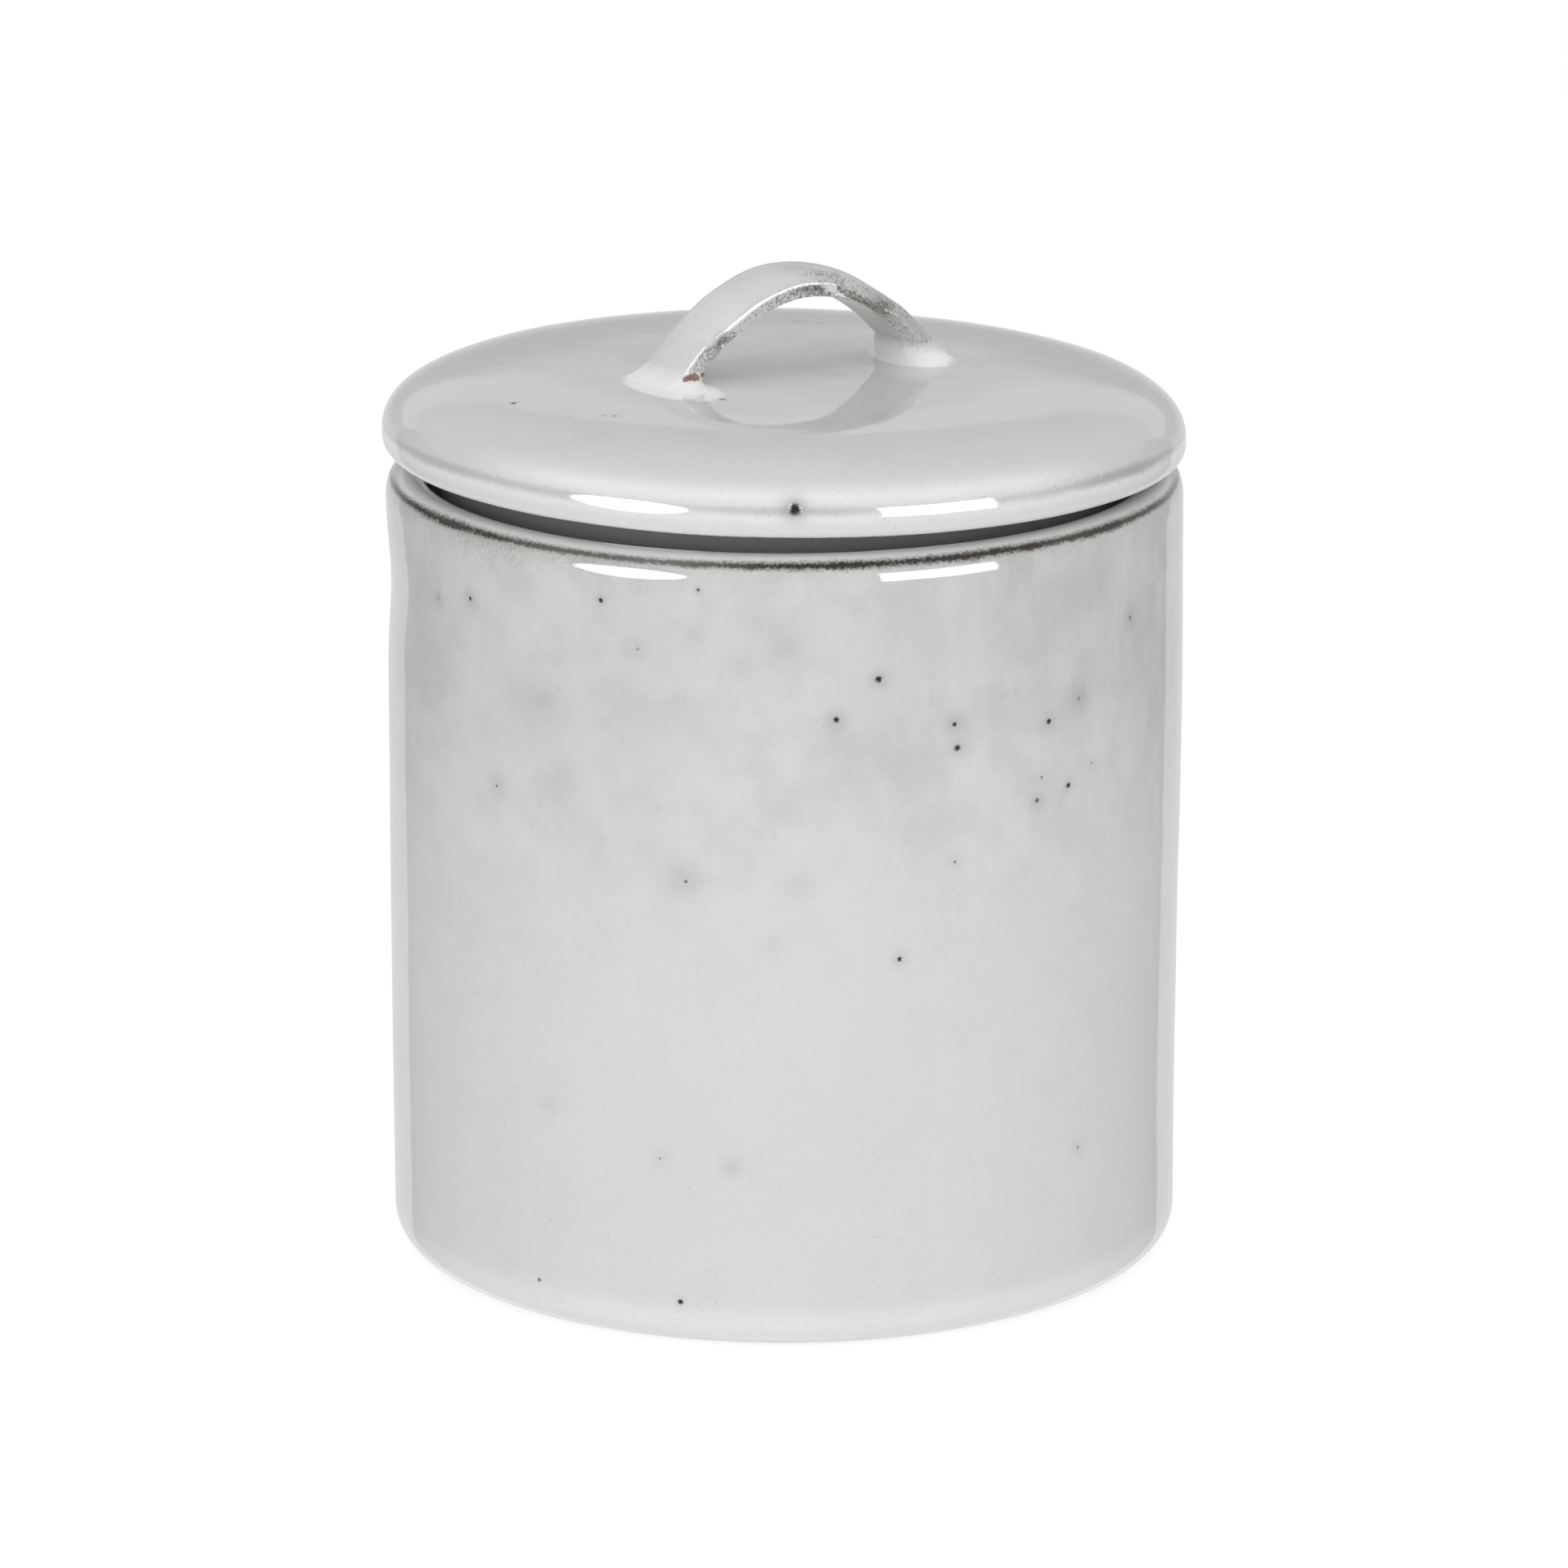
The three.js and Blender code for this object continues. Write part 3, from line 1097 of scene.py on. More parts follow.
@dataclass
class Lid:
    """The domed plate with its rounded edge, and the locating ring under it."""

    radius: float = 60.5
    under: float = 123.2
    edge_height: float = 2.2
    height: float = 12.0
    under_edge: float = 1.9
    shoulder_power: float = 2.8
    shoulder_root: float = 2.7
    seat_radius: float = 30.4
    hollow_depth: float = 4.4
    hollow_edge: float = 5.0
    ring_outer: float = 52.4
    ring_thickness: float = 4.0
    ring_bottom: float = 112.3
    ring_edge: float = 1.2
    ring_fillet: float = 1.8
    glaze_seed: float = 23.0
    facets: int = 288
    tilt_x: float = -0.0150
    tilt_y: float = -0.0007
    plate_waver: float = 0.0003
    plate_lift: float = 0.00022
    ring_waver: float = 0.0002
    top_steps: int = 46
    pools: tuple[Pool, ...] = (Pool((-21.4, -2.0), (6.2, 11.6)), Pool((21.6, -2.8), (6.2, 9.0)))
    plate_name: str = "lid_plate_glazed"
    ring_name: str = "lid_ring_glazed"

    @property
    def top(self) -> float:
        """Height of the lid's flat middle."""
        return self.under + self.height

    def top_height(self, radius: float) -> float:
        """Gives the height of the lid's top.

        Args:
            radius: distance from the axis.

        Returns:
            The height.
        """
        if radius <= self.seat_radius:
            return self.top
        outward = (radius - self.seat_radius) / (self.radius - self.seat_radius)
        rise = self.height - self.edge_height
        share = max(1 - outward**self.shoulder_power, 0.0)
        return self.under + self.edge_height + rise * share ** (1 / self.shoulder_root)

    def lean(self, x: float, y: float) -> float:
        """How far the lid's own lean lifts a point, in millimetres."""
        return self.tilt_x * x + self.tilt_y * y

    def plate_section(self) -> Section:
        """Draws the plate's section from the middle of its underside round to the middle of its top.

        Returns:
            The section.
        """
        hollow = self.ring_outer - self.ring_thickness - self.hollow_edge
        section = Section(1.2)
        section.to(0, self.under + self.hollow_depth)
        section.arc((hollow, self.under), (self.hollow_edge, self.hollow_depth), 90, 0, 10)
        edge = (self.radius - self.under_edge, self.under + self.edge_height)
        section.arc(edge, (self.under_edge, self.edge_height), -90, 0, 14)
        for index in range(1, self.top_steps):
            turn = math.radians(90 * index / self.top_steps)
            radius = self.radius - (self.radius - self.seat_radius) * (1 - math.cos(turn))
            section.points.append((radius, self.top_height(radius)))
        return section.to(0, self.top)

    def ring_section(self) -> Section:
        """Draws the ring's section, once round, with a fillet of clay where it meets the plate.

        Returns:
            The section.
        """
        inner = self.ring_outer - self.ring_thickness
        low, high = self.ring_bottom + self.ring_edge, self.under + 0.1
        edge, fillet = self.ring_edge, self.ring_fillet
        section = Section(1.2)
        section.to(inner, high).to(inner, low)
        section.arc((inner + edge, low), (edge, edge), 180, 270, 6)
        section.arc((self.ring_outer - edge, low), (edge, edge), 270, 360, 6)
        section.arc((self.ring_outer + fillet, high - fillet), (fillet, fillet), 180, 90, 7)
        return section.to(inner, high)

    def hand(self, level_below: float, tilted_above: float, waver: float, lift: float) -> Handwork:
        """Gives the lid's lean and waver.

        Args:
            level_below: height below which it is level, in millimetres.
            tilted_above: height above which it leans fully, in millimetres.
            waver: how far its radius wavers.
            lift: how far its rim wavers up and down.

        Returns:
            The hand's departures from the true form.
        """
        return Handwork(
            waver=waver,
            waver_grain=0.034,
            lift_waver=lift,
            tilt_x=self.tilt_x,
            tilt_y=self.tilt_y,
            level_below=level_below * MM,
            tilted_above=tilted_above * MM,
            seed=1.9,
        )

    def glaze(self) -> ReactiveGlaze:
        """The lid's glaze, with its pinholes and the lines where it thins over the shoulder.

        Returns:
            The glaze.
        """
        marks = (
            Mark((-46.0, 3.5, 134.7), 0.55, 0.9, 1.0, 0.2),
            Mark((-19.5, -12.5, 135.2), 0.50, 0.9, 1.0, 0.2),
            Mark((-38.8, -12.9, 135.0), 0.30, 0.8, 0.5),
            Mark((-40.0, -11.6, 135.0), 0.22, 0.6, 0.5),
            Mark(on_round(237.2, 127.9, 60.2), 0.95, 1.8, 1.0, 0.6),
            Mark((21.2, 27.2, 135.2), 0.5, 1.2, 0.3),
            Mark((23.6, 24.2, 135.2), 0.4, 0.9, 0.2),
        )
        lobes = (
            Lobe(180, 20, 0.32),
            Lobe(205, 10, 0.12),
            Lobe(237, 14, 0.24),
            Lobe(264, 10, 0.10),
            Lobe(292, 14, 0.50),
            Lobe(60, 50, 0.4),
        )
        shoulder = Break(60.25, 127.55, 0.75, lobes, floor=0.14, cover=0.42, iron=0.15)
        lower = Break(59.2, 123.4, 0.32, (Lobe(236, 50, 0.5), Lobe(80, 60, 0.4)), floor=0.35, cover=0.9)
        lines, pools, seed = (shoulder, lower), self.pools, self.glaze_seed
        return ReactiveGlaze("lid_glaze", Ground.TOP, marks=marks, breaks=lines, pools=pools, seed=seed)

    def ring_glaze(self) -> ReactiveGlaze:
        """The ring's thin grey glaze, made darker as painted shade, since the lid keeps the ring in the
        shade.
        """
        # These dark colours are partly painted shade for the gap under the lid.
        pale, cloud = (0.24, 0.242, 0.228), (0.19, 0.192, 0.18)
        return ReactiveGlaze("ring_glaze", Ground.TOP, pale=pale, cloud=cloud, seed=self.glaze_seed)

    def build(self, wheel: Wheel) -> list[bpy.types.Object]:
        """Turns the plate and its ring and puts them in their place.

        Args:
            wheel: the tree that turns sections.

        Returns:
            The plate and the ring.
        """
        glaze, shade = self.glaze().material(), self.ring_glaze().material()
        plate_hand = self.hand(0.0, 1.0, self.plate_waver, self.plate_lift)
        plate = wheel.turn(self.plate_name, self.plate_section(), self.facets, glaze, plate_hand)
        ring_hand = self.hand(self.ring_bottom + 1, self.under, self.ring_waver, 0.0)
        ring = wheel.turn(self.ring_name, self.ring_section(), self.facets, shade, ring_hand)
        return [
            settle(plate, "lid", "lid_plate"),
            settle(ring, "lid", "lid_locating_ring"),
        ]


@dataclass(frozen=True)
class Pressing:
    """How the strap's front edge is pressed at one place along the arch.

    Distances across are in half widths and heights in half thicknesses: the heel is the edge's low
    corner, the ridge lies in its middle, and the shoulder is the arris where the crown begins.
    """

    heel: float
    ridge: float
    ridge_height: float
    front: float
    shoulder: float
    bevel: float
    thin_low: float
    thin_high: float

    def toward(self, other: "Pressing", share: float) -> "Pressing":
        """A pressing part of the way to another one."""
        eased = share * share * (3 - 2 * share)
        pairs = ((getattr(self, key), getattr(other, key)) for key in self.__dataclass_fields__)
        return Pressing(*(one + (two - one) * eased for one, two in pairs))


# Places along the arch, and how the front edge is pressed there.
PRESSINGS: tuple[tuple[float, Pressing], ...] = (
    (-24.0, Pressing(0.90, 0.975, -0.35, 0.965, 0.62, 0.8, 0.60, 0.72)),
    (-17.3, Pressing(0.90, 0.975, -0.35, 0.965, 0.62, 0.8, 0.60, 0.72)),
    (-15.9, Pressing(0.92, 0.950, -0.50, 0.955, -0.10, 1.1, 0.90, 0.85)),
    (-13.0, Pressing(0.92, 0.950, -0.50, 0.955, -0.10, 1.1, 0.45, 0.50)),
    (-8.0, Pressing(0.92, 0.945, -0.50, 0.955, -0.10, 1.15, 0.62, 0.68)),
    (0.0, Pressing(0.93, 0.940, -0.50, 0.945, -0.10, 1.15, 1.00, 1.15)),
    (4.0, Pressing(0.96, 0.958, -0.55, 0.945, -0.12, 1.0, 1.05, 1.15)),
    (5.6, Pressing(0.98, 0.965, -0.62, 0.860, -0.22, 0.3, 1.10, 1.15)),
    # Here the low flat's dark thin glaze also stands in for painted shade along the strap's lower edge.
    (10.5, Pressing(1.02, 0.960, -0.70, 0.860, -0.36, 0.4, 1.30, 1.05)),
    (12.4, Pressing(0.80, 0.980, -0.55, 0.800, 0.40, 0.3, 0.90, 0.95)),
    (14.5, Pressing(0.50, 0.985, -0.30, 0.740, 0.74, 0.3, 0.55, 0.62)),
    (18.5, Pressing(0.45, 0.980, -0.30, 0.700, 0.78, 0.3, 0.55, 0.60)),
    (24.0, Pressing(0.45, 0.975, -0.30, 0.700, 0.78, 0.3, 0.60, 0.65)),
)


@dataclass(frozen=True)
class Skirt:
    """How the clay of one foot is smeared out over the lid, in millimetres.

    It starts at a height and reaches out by its length on each side; a feather over 1 hollows it
    out and one below 1 makes it bulge.
    """

    height: float
    feather: float
    front: float
    back: float
    outward: float
    inward: float

    def reach(self, toward: Vector) -> float:
        """The smear's length in one direction, of which x counts away from the arch's middle."""
        across = self.front * max(-toward.y, 0.0) ** 2 + self.back * max(toward.y, 0.0) ** 2
        return across + self.outward * max(toward.x, 0.0) ** 2 + self.inward * max(-toward.x, 0.0) ** 2


@dataclass
class StrapHandle:
    """The pulled strap of clay, bent into an arch and luted to the lid with two thumbed feet.

    BACK and SOLE are how far the section reaches behind, in its middle and at its sole. The eases
    are how much its front corners give way when it is softened. SUNK is how deep the feet's edges
    go into the lid, and WAVE how far the fingers left the strap uneven, in millimetres.
    """

    BACK, SOLE, OVAL = 0.97, 0.90, 0.8
    EDGE_EASE, CORNER_EASE, SOFTENINGS = 0.35, 0.15, 12
    SUNK = 0.06
    WAVE, WAVE_SCALE, WAVE_SEED = 0.14, 0.16, 5

    lid: Lid
    span: float = 48.2
    rise: float = 16.1
    offset: float = 1.7
    width: float = 12.0
    thickness: float = 4.2
    leg: float = 4.3
    left_skirt: Skirt = Skirt(2.2, 1.7, 5.6, 1.4, 1.8, 1.6)
    right_skirt: Skirt = Skirt(3.0, 1.0, 2.6, 1.2, 0.9, 3.6)
    shift: float = 0.15
    skew: float = -0.105
    edge_points: int = 11
    bevel_points: int = 7
    bevel_width: float = 0.60
    crown_points: int = 27
    back_points: int = 10
    sole_points: int = 36
    arch_rings: int = 170
    foot_rings: int = 30
    left_pinch: float = -15.7
    right_pinch: float = 12.3
    name: str = "strap_handle_glazed"

    @property
    def outer_drop(self) -> float:
        """How fast the outer line falls away from its top."""
        return self.rise / (self.span / 2) ** 2

    @property
    def inner_drop(self) -> float:
        """How fast the inner line falls away from its top."""
        return (self.rise - self.thickness) / (self.span / 2 - self.leg) ** 2

    def outer_at(self, height: float) -> float:
        """Distance of the outer line from the arch's middle at a height above the lid."""
        return math.sqrt(max(self.rise - height, 0.0) / self.outer_drop)

    def inner_at(self, height: float) -> float:
        """Distance of the inner line from the arch's middle at a height above the lid."""
        return math.sqrt(max(self.rise - self.thickness - height, 0.0) / self.inner_drop)

    def outer_height(self, x: float) -> float:
        """Height of the outer line above the lid."""
        return self.rise - self.outer_drop * x * x

    def inner_height(self, x: float) -> float:
        """Height of the inner line above the lid."""
        return self.rise - self.thickness - self.inner_drop * x * x

    def pressing(self, x: float) -> Pressing:
        """Finds how the front edge is pressed.

        Args:
            x: place along the arch.

        Returns:
            The pressing there.
        """
        for (start, one), (end, two) in zip(PRESSINGS, PRESSINGS[1:]):
            if x < end:
                return one.toward(two, max(0.0, (x - start) / (end - start)))
        return PRESSINGS[-1][1]

    def oblong(self, pressing: Pressing, roundness: float) -> list[tuple[float, float, float]]:
        """Draws the strap's section, from -1 to 1 across its width and through its thickness.

        Args:
            pressing: the shape of its front edge.
            roundness: 0 for the pulled section with its flats, 1 for a plain oval.

        Returns:
            Points across, through, and how thin the glaze lies on each one.
        """
        corners = (
            (-pressing.heel, -1.0),
            (-pressing.ridge, pressing.ridge_height),
            (-pressing.front, pressing.shoulder),
        )
        thinness = (pressing.thin_low, pressing.thin_high)
        outline: list[tuple[float, float, float, float]] = []
        for (one, two), thin in zip(zip(corners, corners[1:]), thinness):
            for i in range(self.edge_points):
                share = i / self.edge_points
                ease = self.EDGE_EASE if one[1] > -1.0 or share > 0.25 else self.CORNER_EASE
                outline.append((*(a + (b - a) * share for a, b in zip(one, two)), thin, ease))
        across, through = corners[-1]
        step = self.bevel_width * pressing.bevel / self.bevel_points
        for i in range(self.bevel_points):
            lean = math.radians(7.0 + 16.0 * i / self.bevel_points)
            across += step * math.sin(lean) / (self.width / 2)
            through += step * math.cos(lean) / (self.thickness / 2)
            outline.append((across, through, pressing.thin_high * 0.35, self.CORNER_EASE))
        turns = [math.radians(90.0 * (i + 1) / self.crown_points) for i in range(self.crown_points)]
        outline += [(across * math.cos(t), through + (1 - through) * math.sin(t), 0.0, 1.0) for t in turns]
        outline += [(self.BACK * math.sin(t), math.cos(t), 0.0, 1.0) for t in turns]
        for i in range(1, self.back_points):
            share = i / self.back_points
            bulge = 0.05 * math.sin(math.pi * share)
            outline.append((self.BACK + (self.SOLE - self.BACK) * share + bulge, -share, 0.0, 1.0))
        for i in range(self.sole_points):
            share = i / self.sole_points
            ease = self.CORNER_EASE if share > 0.96 else 1.0
            outline.append((self.SOLE - (self.SOLE + pressing.heel) * share, -1.0, 0.0, ease))
        result = []
        for across, through, flat, _ in self._softened(outline):
            angle = math.atan2(through, across)
            oval_across = math.copysign(abs(math.cos(angle)) ** self.OVAL, across)
            oval_through = math.copysign(abs(math.sin(angle)) ** self.OVAL, through)
            across += (oval_across - across) * roundness
            through += (oval_through - through) * roundness
            result.append((across, through, flat * (1 - roundness * 0.6)))
        return result

    def _softened(
        self, outline: list[tuple[float, float, float, float]]
    ) -> list[tuple[float, float, float, float]]:
        """Rounds a closed outline's corners, more where its fourth number is high.

        Args:
            outline: points across, through, their thinness, and how much each one gives way.

        Returns:
            The rounded outline.
        """
        count = len(outline)
        for _ in range(self.SOFTENINGS):
            eased = []
            for k in range(count):
                here, before, after = outline[k], outline[k - 1], outline[(k + 1) % count]
                pulls = (0.5 * here[3], 0.5 * here[3], 0.25)
                moved = (a + pull * ((b + c) / 2 - a) for a, b, c, pull in zip(here, before, after, pulls))
                eased.append((*moved, here[3]))
            outline = eased
        return outline

    def rings(self) -> list[Ring]:
        """Lays sections along the arch and down both feet.

        Returns:
            For each ring its points in millimetres, and each point's thinness and bareness.
        """
        shares = [1.04 * i / self.foot_rings for i in range(self.foot_rings, 0, -1)]
        made = [self._foot_ring(-1, share) for share in shares]
        made += [self._arch_ring(-1 + 2 * i / self.arch_rings) for i in range(self.arch_rings + 1)]
        return made + [self._foot_ring(1, share) for share in reversed(shares)]

    def _ring(self, centre: Vector, roundness: float, spot: Callable[[float, float], Vector]) -> Ring:
        """Lays the strap's section round one place.

        Args:
            centre: the ring's middle.
            roundness: how far the section has gone from the pulled one to an oval.
            spot: gives a point's place from the middle, by where it lies in the section.

        Returns:
            Its points, and each point's thinness and bareness.
        """
        x, points, cover = centre.x, [], []
        for across, through, flat in self.oblong(self.pressing(x), roundness):
            point = centre + spot(across, through) + Vector((0, self._sideways(x), 0))
            points.append(self._dimpled(point, x))
            cover.append((self._thin(x, flat, across, through), self._bare(point, flat, through)))
        return points, cover

    def _arch_ring(self, along: float) -> Ring:
        """Makes one ring of the arch.

        Args:
            along: its place, from -1 at the left foot to 1 at the right one.

        Returns:
            Its points, and each point's thinness and bareness.
        """
        foot = (self.left_skirt if along < 0 else self.right_skirt).height
        outer_x, inner_x = along * self.outer_at(foot), along * self.inner_at(foot)
        outer = Vector((outer_x, 0, self.outer_height(outer_x)))
        inner = Vector((inner_x, 0, self.inner_height(inner_x)))
        half, side = (outer - inner) / 2, Vector((0, self.width / 2, 0))
        return self._ring((outer + inner) / 2, 0.0, lambda across, through: half * through + side * across)

    def _foot_ring(self, side: int, share: float) -> Ring:
        """Makes one level ring of a foot.

        Args:
            side: -1 for the left foot and 1 for the right one.
            share: from 0 at the foot's top to 1 where it meets the lid.

        Returns:
            Its points, and each point's thinness and bareness.
        """
        skirt = self.left_skirt if side < 0 else self.right_skirt
        sunk = self.SUNK * max(share - 0.8, 0.0) / 0.2
        height = skirt.height * max(1 - share, 0.0) ** skirt.feather - sunk
        outer_x, inner_x = self.outer_at(max(height, 0)), self.inner_at(max(height, 0))
        half_x, half_y = (outer_x - inner_x) / 2, self.width / 2

        def spot(across: float, through: float) -> Vector:
            """Spreads a point of the foot's outline by its skirt."""
            base = Vector((side * through * half_x, across * half_y, 0))
            out = Vector((base.x / half_x**2, base.y / half_y**2, 0)).normalized()
            return base + out * (skirt.reach(Vector((out.x * side, out.y, 0))) * share)

        centre = Vector((side * (outer_x + inner_x) / 2, 0, height))
        return self._ring(centre, min(1.0, share * 1.15) ** 2.0, spot)

    def _sideways(self, x: float) -> float:
        """How far the strap lies off its plane, because it was set on a little askew."""
        return self.shift + self.skew * x

    def _thin(self, x: float, flat: float, across: float, through: float) -> float:
        """How thin the glaze is: on the front edge, and over the crown's front towards the right.

        Args:
            x: place along the arch.
            flat: thinness of the pressed edge at the point.
            across: the point's place across the strap.
            through: its place through the strap.

        Returns:
            The thinness.
        """
        near = clamped((-across - 0.15) / 0.6)
        crown = bump(x, 4.5, 7.5) * near
        right = bump(x, 17.0, 6.0) * clamped((-across - 0.30) / 0.3)
        return max(flat, 0.72 * crown, 0.45 * right * clamped(through * 2), 0.16 * near)

    def _bare(self, point: Vector, flat: float, through: float) -> float:
        """Where the foot of the front edge stays without glaze.

        Args:
            point: the point, from the arch's middle on the lid's top.
            flat: thinness of the pressed edge there.
            through: the point's place through the strap.

        Returns:
            The bareness.
        """
        thin = min(flat * 1.4, 1.0)
        if point.x < 0:
            return thin * (1.0 - 0.6 * bump(through, -0.30, 0.14)) * bump(point.z, 1.7, 0.65) * 0.92
        return thin * bump(point.z, 2.5, 0.6) * clamped(through * 2.0 - 0.6) * 0.95

    def _dimpled(self, point: Vector, x: float) -> Vector:
        """Presses the pinch marks into a point and sets it on the lid.

        Args:
            point: the point, from the arch's middle on the lid's top.
            x: place of its ring along the arch.

        Returns:
            The point in the part's own frame, in millimetres.
        """
        moved = point.copy()
        for place, reach, depth in self.pinches():
            inward = (Vector((point.x, self._sideways(x), point.z - 1.0)) - point).normalized()
            off = point - place
            off.y *= 0.6
            moved += inward * depth * bump(off.length, 0.0, reach)
        wave = noise.noise_vector(point * self.WAVE_SCALE + Vector((3.1, 7.7, 1.3))) * self.WAVE
        moved += wave * clamped((point.z - 0.3) / 3.0)
        moved.x += self.offset
        moved.z += self.lid.top + self.lid.lean(moved.x, moved.y)
        return moved

    def pinches(self) -> tuple[tuple[Vector, float, float], ...]:
        """Lists the fingertip marks in the strap's front edge.

        Returns:
            Their places, reaches and depths.
        """
        left, right = self.left_pinch, self.right_pinch
        return (
            (self.on_edge(left, -0.45), 1.0, 0.85),
            (self.on_edge(right - 0.4, 0.30), 0.8, 0.45),
            (self.on_edge(right + 0.4, -0.65), 1.0, 0.70),
        )

    def on_edge(self, x: float, through: float) -> Vector:
        """Finds a point on the strap's front edge.

        Args:
            x: its place along the arch.
            through: its place through the strap.

        Returns:
            The point.
        """
        height = (self.outer_height(x) + self.inner_height(x)) / 2
        middle = Vector((x, self._sideways(x) - 0.93 * self.width / 2, height))
        normal = Vector((2 * self.outer_drop * x, 0, 1)).normalized()
        return middle + normal * through * (self.thickness / 2)

    def glaze(self) -> ReactiveGlaze:
        """The strap's glaze, thin on its pressed edge and pooled round its feet.

        Returns:
            The glaze.
        """
        marks = []
        for (place, _, _), radius, halo in zip(self.pinches(), (0.62, 0.40, 0.42), (1.5, 2.0, 1.5)):
            there = place + Vector((self.offset, 0, self.lid.top + self.lid.lean(place.x, place.y)))
            marks.append(Mark(tuple(there), radius, halo, 0.9, 0.45))
        return ReactiveGlaze(
            "handle_glaze",
            Ground.STRAP,
            # This paler colour is partly painted light, to brighten the handle.
            pale=(0.775, 0.778, 0.775),
            thin=(0.185, 0.182, 0.160),
            iron=(0.040, 0.040, 0.034),
            marks=tuple(marks),
            pools=self.lid.pools,
            seed=self.lid.glaze_seed,
        )

    def build(self) -> bpy.types.Object:
        """Makes the strap's mesh, dresses it and puts it in its place.

        Returns:
            The finished handle.
        """
        noise.seed_set(self.WAVE_SEED)
        rings = self.rings()
        around = len(rings[0][0])
        shape = bmesh.new()
        layers = [shape.verts.layers.float.new(name) for name in (THIN, BARE)]
        form = shape.verts.layers.float_vector.new(FORM)
        rows = []
        for points, cover in rings:
            rows.append([shape.verts.new(point * MM) for point in points])
            for vertex, point, shares in zip(rows[-1], points, cover):
                vertex[form] = point
                for layer, share in zip(layers, shares):
                    vertex[layer] = share
        for one, two in zip(rows, rows[1:]):
            for k in range(around):
                shape.faces.new((one[k], one[(k + 1) % around], two[(k + 1) % around], two[k]))
        shape.faces.new(rows[0])
        shape.faces.new(list(reversed(rows[-1])))
        bmesh.ops.recalc_face_normals(shape, faces=shape.faces)
        for face in shape.faces:
            face.smooth = True
        mesh = bpy.data.meshes.new(self.name)
        shape.to_mesh(mesh)
        shape.free()
        mesh.materials.append(self.glaze().material())
        return settle(placed(self.name, mesh), "lid", "strap_handle")


@dataclass(frozen=True)
class Softbox:
    """A softbox that stands in front of the jar, seen from it in degrees and metres."""

    name: str
    turn: float
    rise: float
    wide: float
    tall: float
    shape: str = "RECTANGLE"
    distance: float = 0.8
    gleam: float = 8.5
    fill: float = 1.0


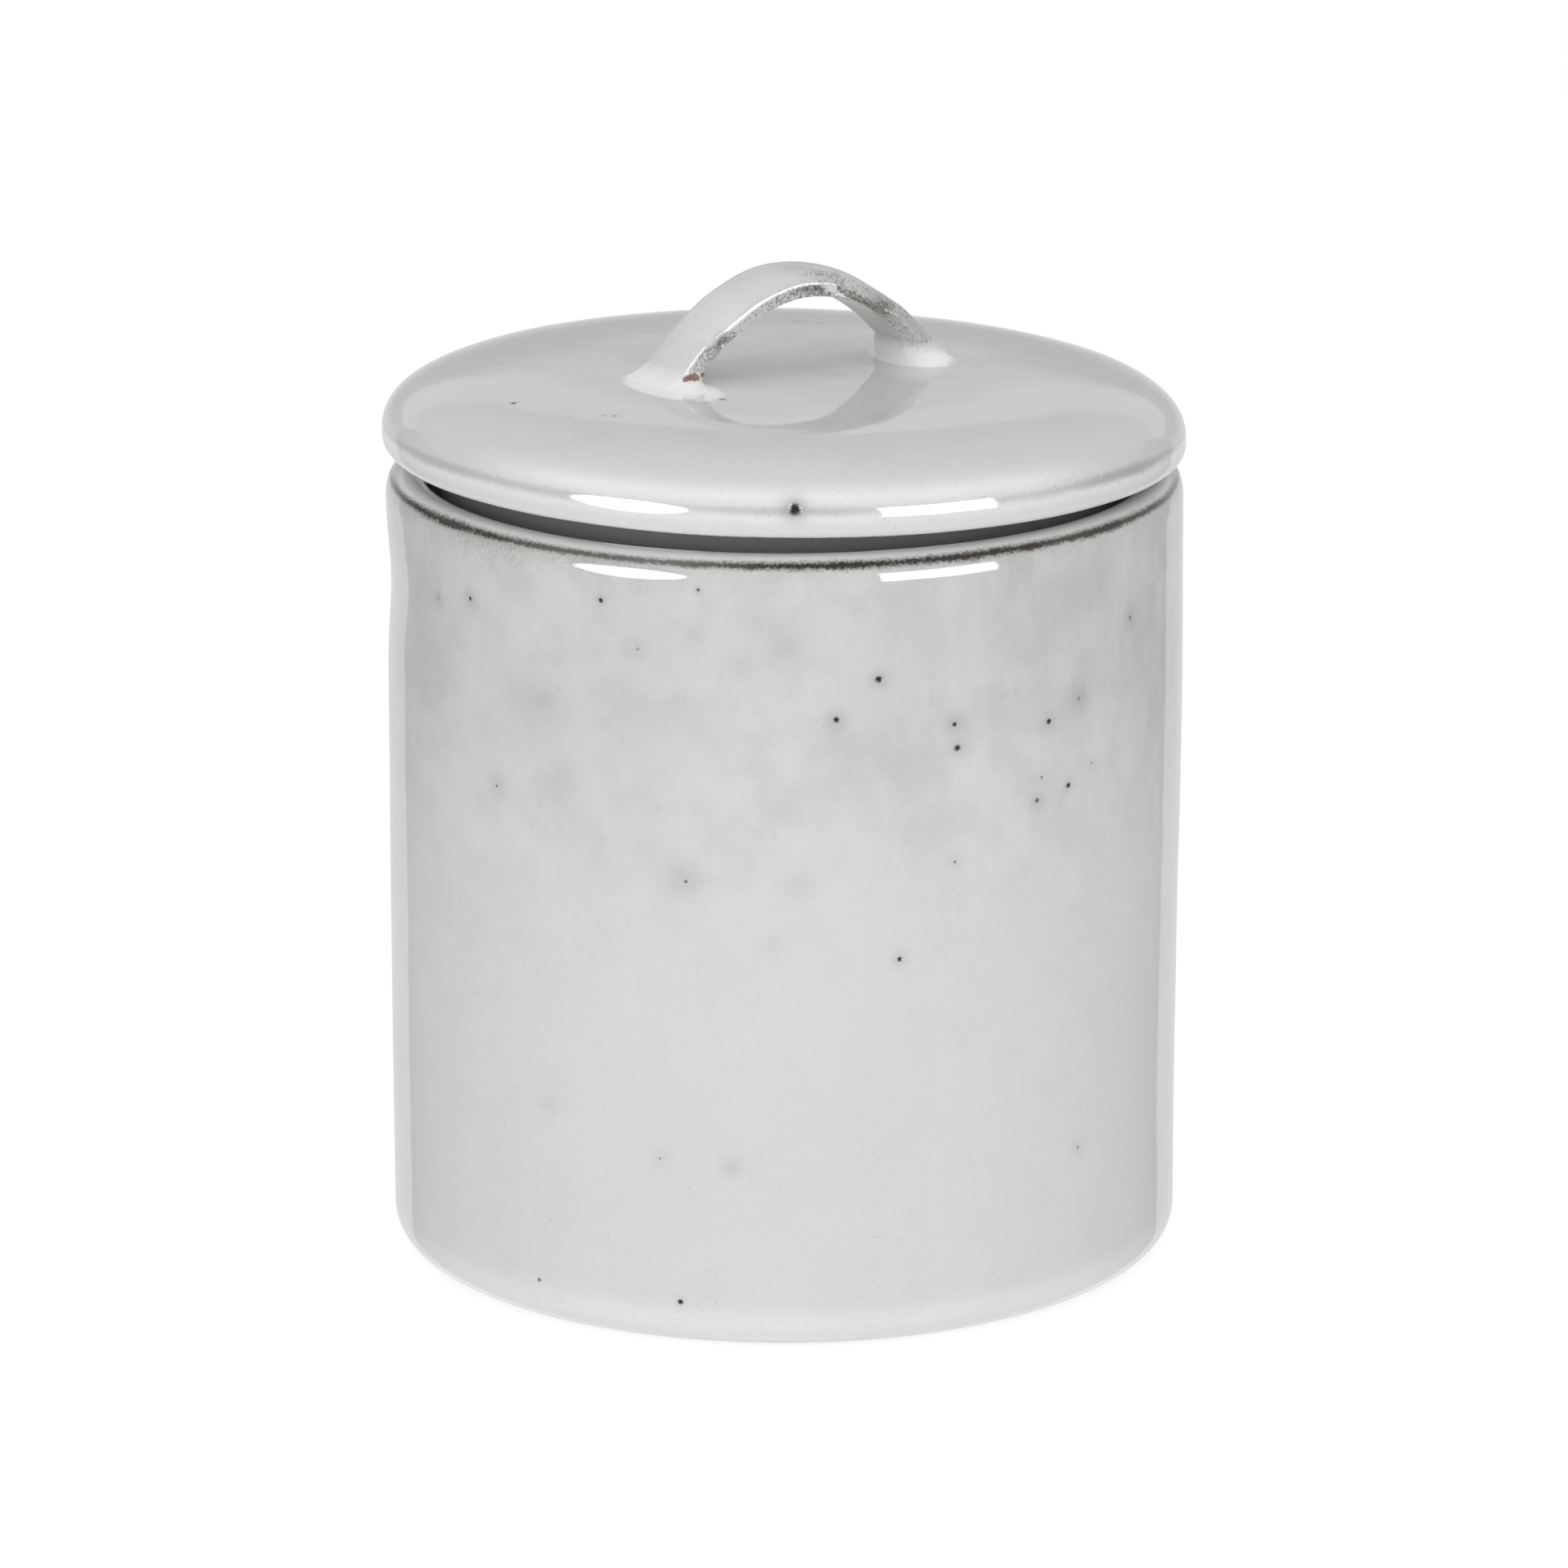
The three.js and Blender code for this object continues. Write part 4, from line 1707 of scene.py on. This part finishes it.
@dataclass
class Studio:
    """The pale floor, the white surround, the softboxes and the camera."""

    camera_distance: float = 1.25
    camera_height: float = 0.4214
    camera_pitch: float = 74.316
    camera_turn: float = -34.2
    lens: float = 195.62
    sensor: float = 36.0
    clip: Point = (0.05, 20.0)
    floor_radius: float = 1.4
    floor_fade: Point = (0.85, 0.35)
    floor_grey: float = 0.30
    floor_glow: float = 0.80
    backdrop_half: float = 36.0
    backdrop_top: float = 20.0
    light_behind: float = 0.20
    light_before: float = 1.40
    light_above: float = 1.0
    lamp_aim: float = 0.118
    softboxes: tuple[Softbox, ...] = (
        Softbox("softbox_left", -43.0, 5.5, 33.0, 25.0, "ELLIPSE"),
        Softbox("softbox_right", 43.2, 5.5, 34.3, 22.0, fill=0.7),
    )

    def away(self) -> Vector:
        """The level direction in which the camera looks."""
        angle = math.radians(self.camera_turn)
        return Vector((-math.sin(angle), math.cos(angle), 0.0))

    def build(self) -> None:
        """Sets the camera, the lights and the floor."""
        self._camera()
        self._world()
        self._floor()
        for box in self.softboxes:
            self._lamp(box, "gleam", box.gleam, glossy=True)
            self._lamp(box, "fill", box.fill, glossy=False)
        bpy.context.scene.view_settings.view_transform = "Standard"

    def _camera(self) -> None:
        """Makes the camera where the photograph was taken from."""
        data = bpy.data.cameras.new("camera")
        data.lens, data.sensor_width = self.lens, self.sensor
        data.clip_start, data.clip_end = self.clip
        camera = placed("camera", data)
        camera.location = -self.away() * self.camera_distance + Vector((0, 0, self.camera_height))
        turn = (math.radians(self.camera_pitch), 0.0, math.radians(self.camera_turn))
        camera.rotation_euler = Euler(turn, "XYZ")
        bpy.context.scene.camera = camera

    def _world(self) -> None:
        """Lights the world by direction and by what the light meets.

        The glaze mirrors a white backdrop behind the jar, a dimmer room beside and above it, and a
        little of the table. Other light comes mostly from above and from the camera's side, and the
        camera itself sees plain white.
        """
        world = bpy.data.worlds.new("studio")
        bpy.context.scene.world = world
        g = emptied(world)
        x, y, z = g.split(g.out(g.node("ShaderNodeTexCoord"), "Generated"))
        away = self.away()
        ahead = x * away.x + y * away.y
        aside = abs(x * away.y - y * away.x)
        azimuth = g.math("ARCTAN2", aside, ahead) * (180 / math.pi)
        elevation = g.math("ARCSINE", z) * (180 / math.pi)
        backdrop = azimuth.ramp(self.backdrop_half + 0.8, self.backdrop_half - 0.8)
        low = elevation.ramp(self.backdrop_top + 1.0, self.backdrop_top - 1.0)
        upper = elevation.ramp(22.0, 75.0, 0.58, 0.50)
        sweep = elevation.ramp(-6.0, 7.0, 0.77, 0.47) + elevation.ramp(10.4, 13.4, 0.0, 0.33)
        behind = low * sweep + (1.0 - low) * upper
        around = low * 0.28 + (1.0 - low) * upper * azimuth.ramp(60.0, 150.0, 1.0, 0.75)
        table = elevation.ramp(-20.0, -45.0) * 0.4
        glossy = backdrop * behind + (1.0 - backdrop) * around + table
        facing = azimuth.ramp(95.0, 170.0, self.light_behind, self.light_before)
        diffuse = facing + (self.light_above - facing) * elevation.ramp(25.0, 60.0)
        path = g.node("ShaderNodeLightPath")
        is_camera, is_glossy = (Value(g, g.out(path, key)) for key in ("Is Camera Ray", "Is Glossy Ray"))
        strength = diffuse + (glossy - diffuse) * is_glossy
        strength = strength + (1.0 - strength) * is_camera
        shader = g.node("ShaderNodeBackground", None, {"Color": (1.0, 1.0, 1.0), "Strength": strength})
        g.node("ShaderNodeOutputWorld", None, {"Surface": g.out(shader)})

    def _floor(self) -> None:
        """Makes a round pale floor, white towards its rim, that keeps a faint shadow of the jar."""
        shape = bmesh.new()
        bmesh.ops.create_circle(shape, cap_ends=True, radius=self.floor_radius, segments=96)
        mesh = bpy.data.meshes.new("floor")
        shape.to_mesh(mesh)
        shape.free()
        material = bpy.data.materials.new("white_table")
        g = emptied(material)
        x, y, _ = g.split(g.out(g.node("ShaderNodeTexCoord"), "Object"))
        near = g.math("SQRT", x * x + y * y).ramp(*self.floor_fade)
        lit = g.node("ShaderNodeBsdfDiffuse", None, {"Color": (self.floor_grey,) * 3})
        glow, white = (
            g.node("ShaderNodeEmission", None, {"Color": (1.0, 1.0, 1.0), "Strength": strength})
            for strength in (self.floor_glow, 1.0)
        )
        table = g.node("ShaderNodeAddShader", None, {0: g.out(lit), 1: g.out(glow)})
        mixed = g.node("ShaderNodeMixShader", None, {0: near, 1: g.out(white), 2: g.out(table)})
        g.node("ShaderNodeOutputMaterial", None, {"Surface": g.out(mixed)})
        mesh.materials.append(material)
        floor = placed("floor", mesh)
        floor.visible_glossy = False

    def _lamp(self, box: Softbox, use: str, radiance: float, glossy: bool) -> None:
        """Makes one lamp of a softbox: its gleam in the glaze, or the light that it gives.

        Args:
            box: the softbox.
            use: what the lamp is for, which ends its name.
            radiance: how bright its face is.
            glossy: whether it shows in the glaze only, or lights it without showing.
        """
        data = bpy.data.lights.new(f"{box.name}_{use}", "AREA")
        data.shape = box.shape
        data.size = 2 * box.distance * math.tan(math.radians(box.wide / 2))
        data.size_y = 2 * box.distance * math.tan(math.radians(box.tall / 2))
        data.energy = 4 * data.size * data.size_y * radiance
        lamp = placed(data.name, data)
        level = Matrix.Rotation(math.radians(box.turn), 3, "Z") @ -self.away()
        rise = math.radians(box.rise)
        toward = level * math.cos(rise) + Vector((0, 0, math.sin(rise)))
        lamp.location = Vector((0, 0, self.lamp_aim)) + toward * box.distance
        lamp.rotation_euler = (-toward).to_track_quat("-Z", "Y").to_euler()
        lamp.visible_camera = False
        lamp.visible_diffuse, lamp.visible_glossy = not glossy, glossy


def main() -> None:
    """Builds the studio, the jar, its lid and its handle, and reports each piece."""
    logging.basicConfig(level=logging.INFO, format="%(message)s")
    Studio().build()
    wheel, lid = Wheel(), Lid()
    for piece in (Jar().build(wheel), *lid.build(wheel), StrapHandle(lid).build()):
        log.info("%s: %d faces", piece.name, len(piece.data.polygons))
    bpy.data.node_groups.remove(wheel.tree)


if __name__ == "__main__":
    main()
